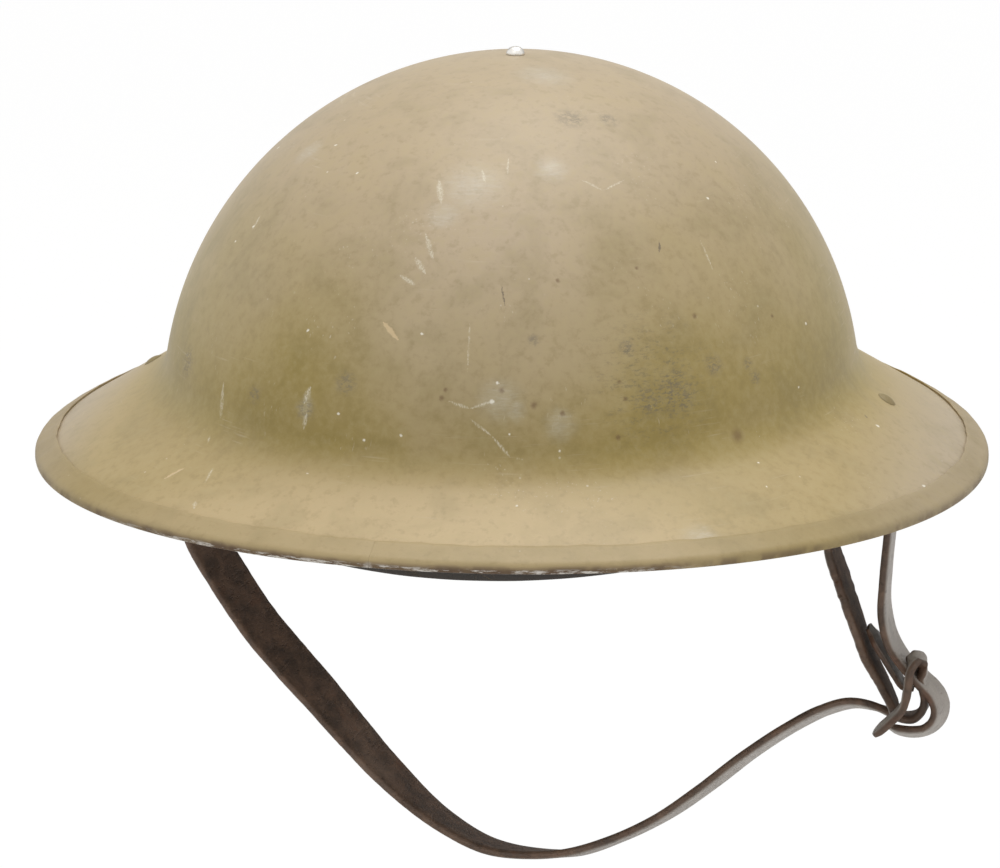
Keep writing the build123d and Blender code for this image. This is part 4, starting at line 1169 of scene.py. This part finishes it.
knot_shares = (
    (1.0885, 0.040, 0.640, -16, 0.7), (1.1240, 0.040, 0.649, -12, 0.7), (1.1600, 0.038, 0.644, -8, 0.68),
    (1.1830, 0.032, 0.618, -4, 0.64), (1.1880, 0.022, 0.583, 0, 0.6), (1.1820, 0.008, 0.549, 0, 0.56),
    (1.1790, -0.008, 0.518, 0, 0.52), (1.1780, -0.026, 0.494, 0, 0.48), (1.1660, -0.046, 0.482, 0, 0.44),
    (1.1530, -0.064, 0.499, 0, 0.42), (1.1480, -0.076, 0.535, 0, 0.42), (1.1382, -0.080, 0.582, 0, 0.42),
    (1.0995, -0.080, 0.622, 0, 0.42), (1.0600, -0.078, 0.655, 0, 0.42),
)
strap_leather = leather(
    "strap_leather", deep=(0.058, 0.034, 0.021), middle=(0.150, 0.088, 0.055), rubbed=(0.27, 0.185, 0.13),
    grey=(0.40, 0.365, 0.325), grey_and_painted_light_reach=(-0.06, 0.09), rough=0.5,
)
chin = Pile()
chin_rows = from_shares(lap_shares) + over_bail(-1) + from_shares(left_run_shares + knot_shares)
strap(chin, chin_rows, 1.7, smooth_side=-1)
chin_piece = chin.make("leather_chin_strap", strap_leather, "strap", sharp=60)
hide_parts("chin_strap")

# Strap loop
# A second length of the same leather goes over the right bail, and both of its ends are drawn into the knot.
# Its left leg shows the brown flesh side with a ragged edge, and its right leg the smooth grey side, whose
# grey is partly a painted reflection.
loop_left_shares = (
    (1.1150, 0, 0.640, 0, 0.5), (1.0968, 0, 0.601, 0, 0.55), (1.0636, 0, 0.545, 0, 0.65),
    (1.0249, 0, 0.488, 0, 0.8), (0.9954, 0, 0.421, 0, 0.9), (0.9475, 0, 0.311, 0, 1),
    (0.9124, 0, 0.225, 0, 1), (0.9090, 0, 0.138, 0, 1),
)
loop_right_shares = (
    (1.0802, 0, 0.123, 0, 1), (1.0765, 0, 0.177, 0, 1), (1.0682, 0, 0.287, 0, 1), (1.0682, 0, 0.380, 0, 1),
    (1.0922, 0, 0.452, 0, 0.9), (1.1364, 0, 0.506, 0, 0.8), (1.1780, 0.003, 0.541, 4, 0.72),
    (1.2120, 0.008, 0.570, 8, 0.68), (1.2310, 0.012, 0.606, 14, 0.66), (1.2240, 0.016, 0.642, 18, 0.66),
    (1.1960, 0.018, 0.668, 22, 0.66), (1.1600, 0.018, 0.677, 25, 0.66), (1.1240, 0.018, 0.676, 25, 0.6),
    (1.0900, 0.016, 0.666, 22, 0.5),
)
loop_strap = Pile()
loop_rows = from_shares(loop_left_shares) + over_bail(1) + from_shares(loop_right_shares)
strap(loop_strap, loop_rows, 6.1, nick=0.0008, frayed=0.34)
loop_piece = loop_strap.make("leather_strap_loop", strap_leather, "strap", sharp=60)
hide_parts("strap_loop")

# Torn layer
# The end of an older layer of leather is caught beside the loop in the knot. It has torn across and curls.
torn_shares = (
    (1.0240, 0, 0.418, 0, 0.5), (1.0470, 0, 0.450, 0, 0.6), (1.0740, 0, 0.486, 0, 0.6),
    (1.1030, 0, 0.525, 0, 0.5), (1.1300, 0, 0.556, 0, 0.4), (1.1580, 0, 0.562, 0, 0.4),
)
torn = Pile()
strap(torn, from_shares(torn_shares), 9.4, nick=0.001, sheet=0.0018, torn_tip=0.0030)
torn_piece = torn.make("leather_torn_layer", strap_leather, "strap", sharp=60)
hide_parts("torn_layer")

# Strap rivet
# A brass rivet with two flat heads goes through both layers of the strap and closes its left loop.
strap_rivet_out, lap_gap = (-1, 0, 0), 0.0007
strap_grip = strap_thick + lap_gap / 2
lap_foot = -2 * strap_grip * 1000
strap_rivet_outline = (
    (0.1, 1.2), (1.5, 1.1), (2.8, 0.85), (3.7, 0.4), (4.0, 0.05), (3.9, 0), (1.5, 0), (1.5, lap_foot - 0.2),
    (3.9, lap_foot - 0.2), (4.0, lap_foot - 0.25), (3.0, lap_foot - 0.9), (0.1, lap_foot - 1.2),
)
lap_pin = Pile()
lap_middle = Vector((-0.9605 * bail_offset, 0, -0.205 * strap_drop))
lap_top = lap_middle + Vector(strap_rivet_out) * (strap_grip + 0.0001)
turned(lap_pin, strap_rivet_outline, seat_at(lap_top, strap_rivet_out), sides=32)
lap_piece = lap_pin.make("strap_pin", old_brass, "strap", sharp=35)
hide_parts("strap_rivet")
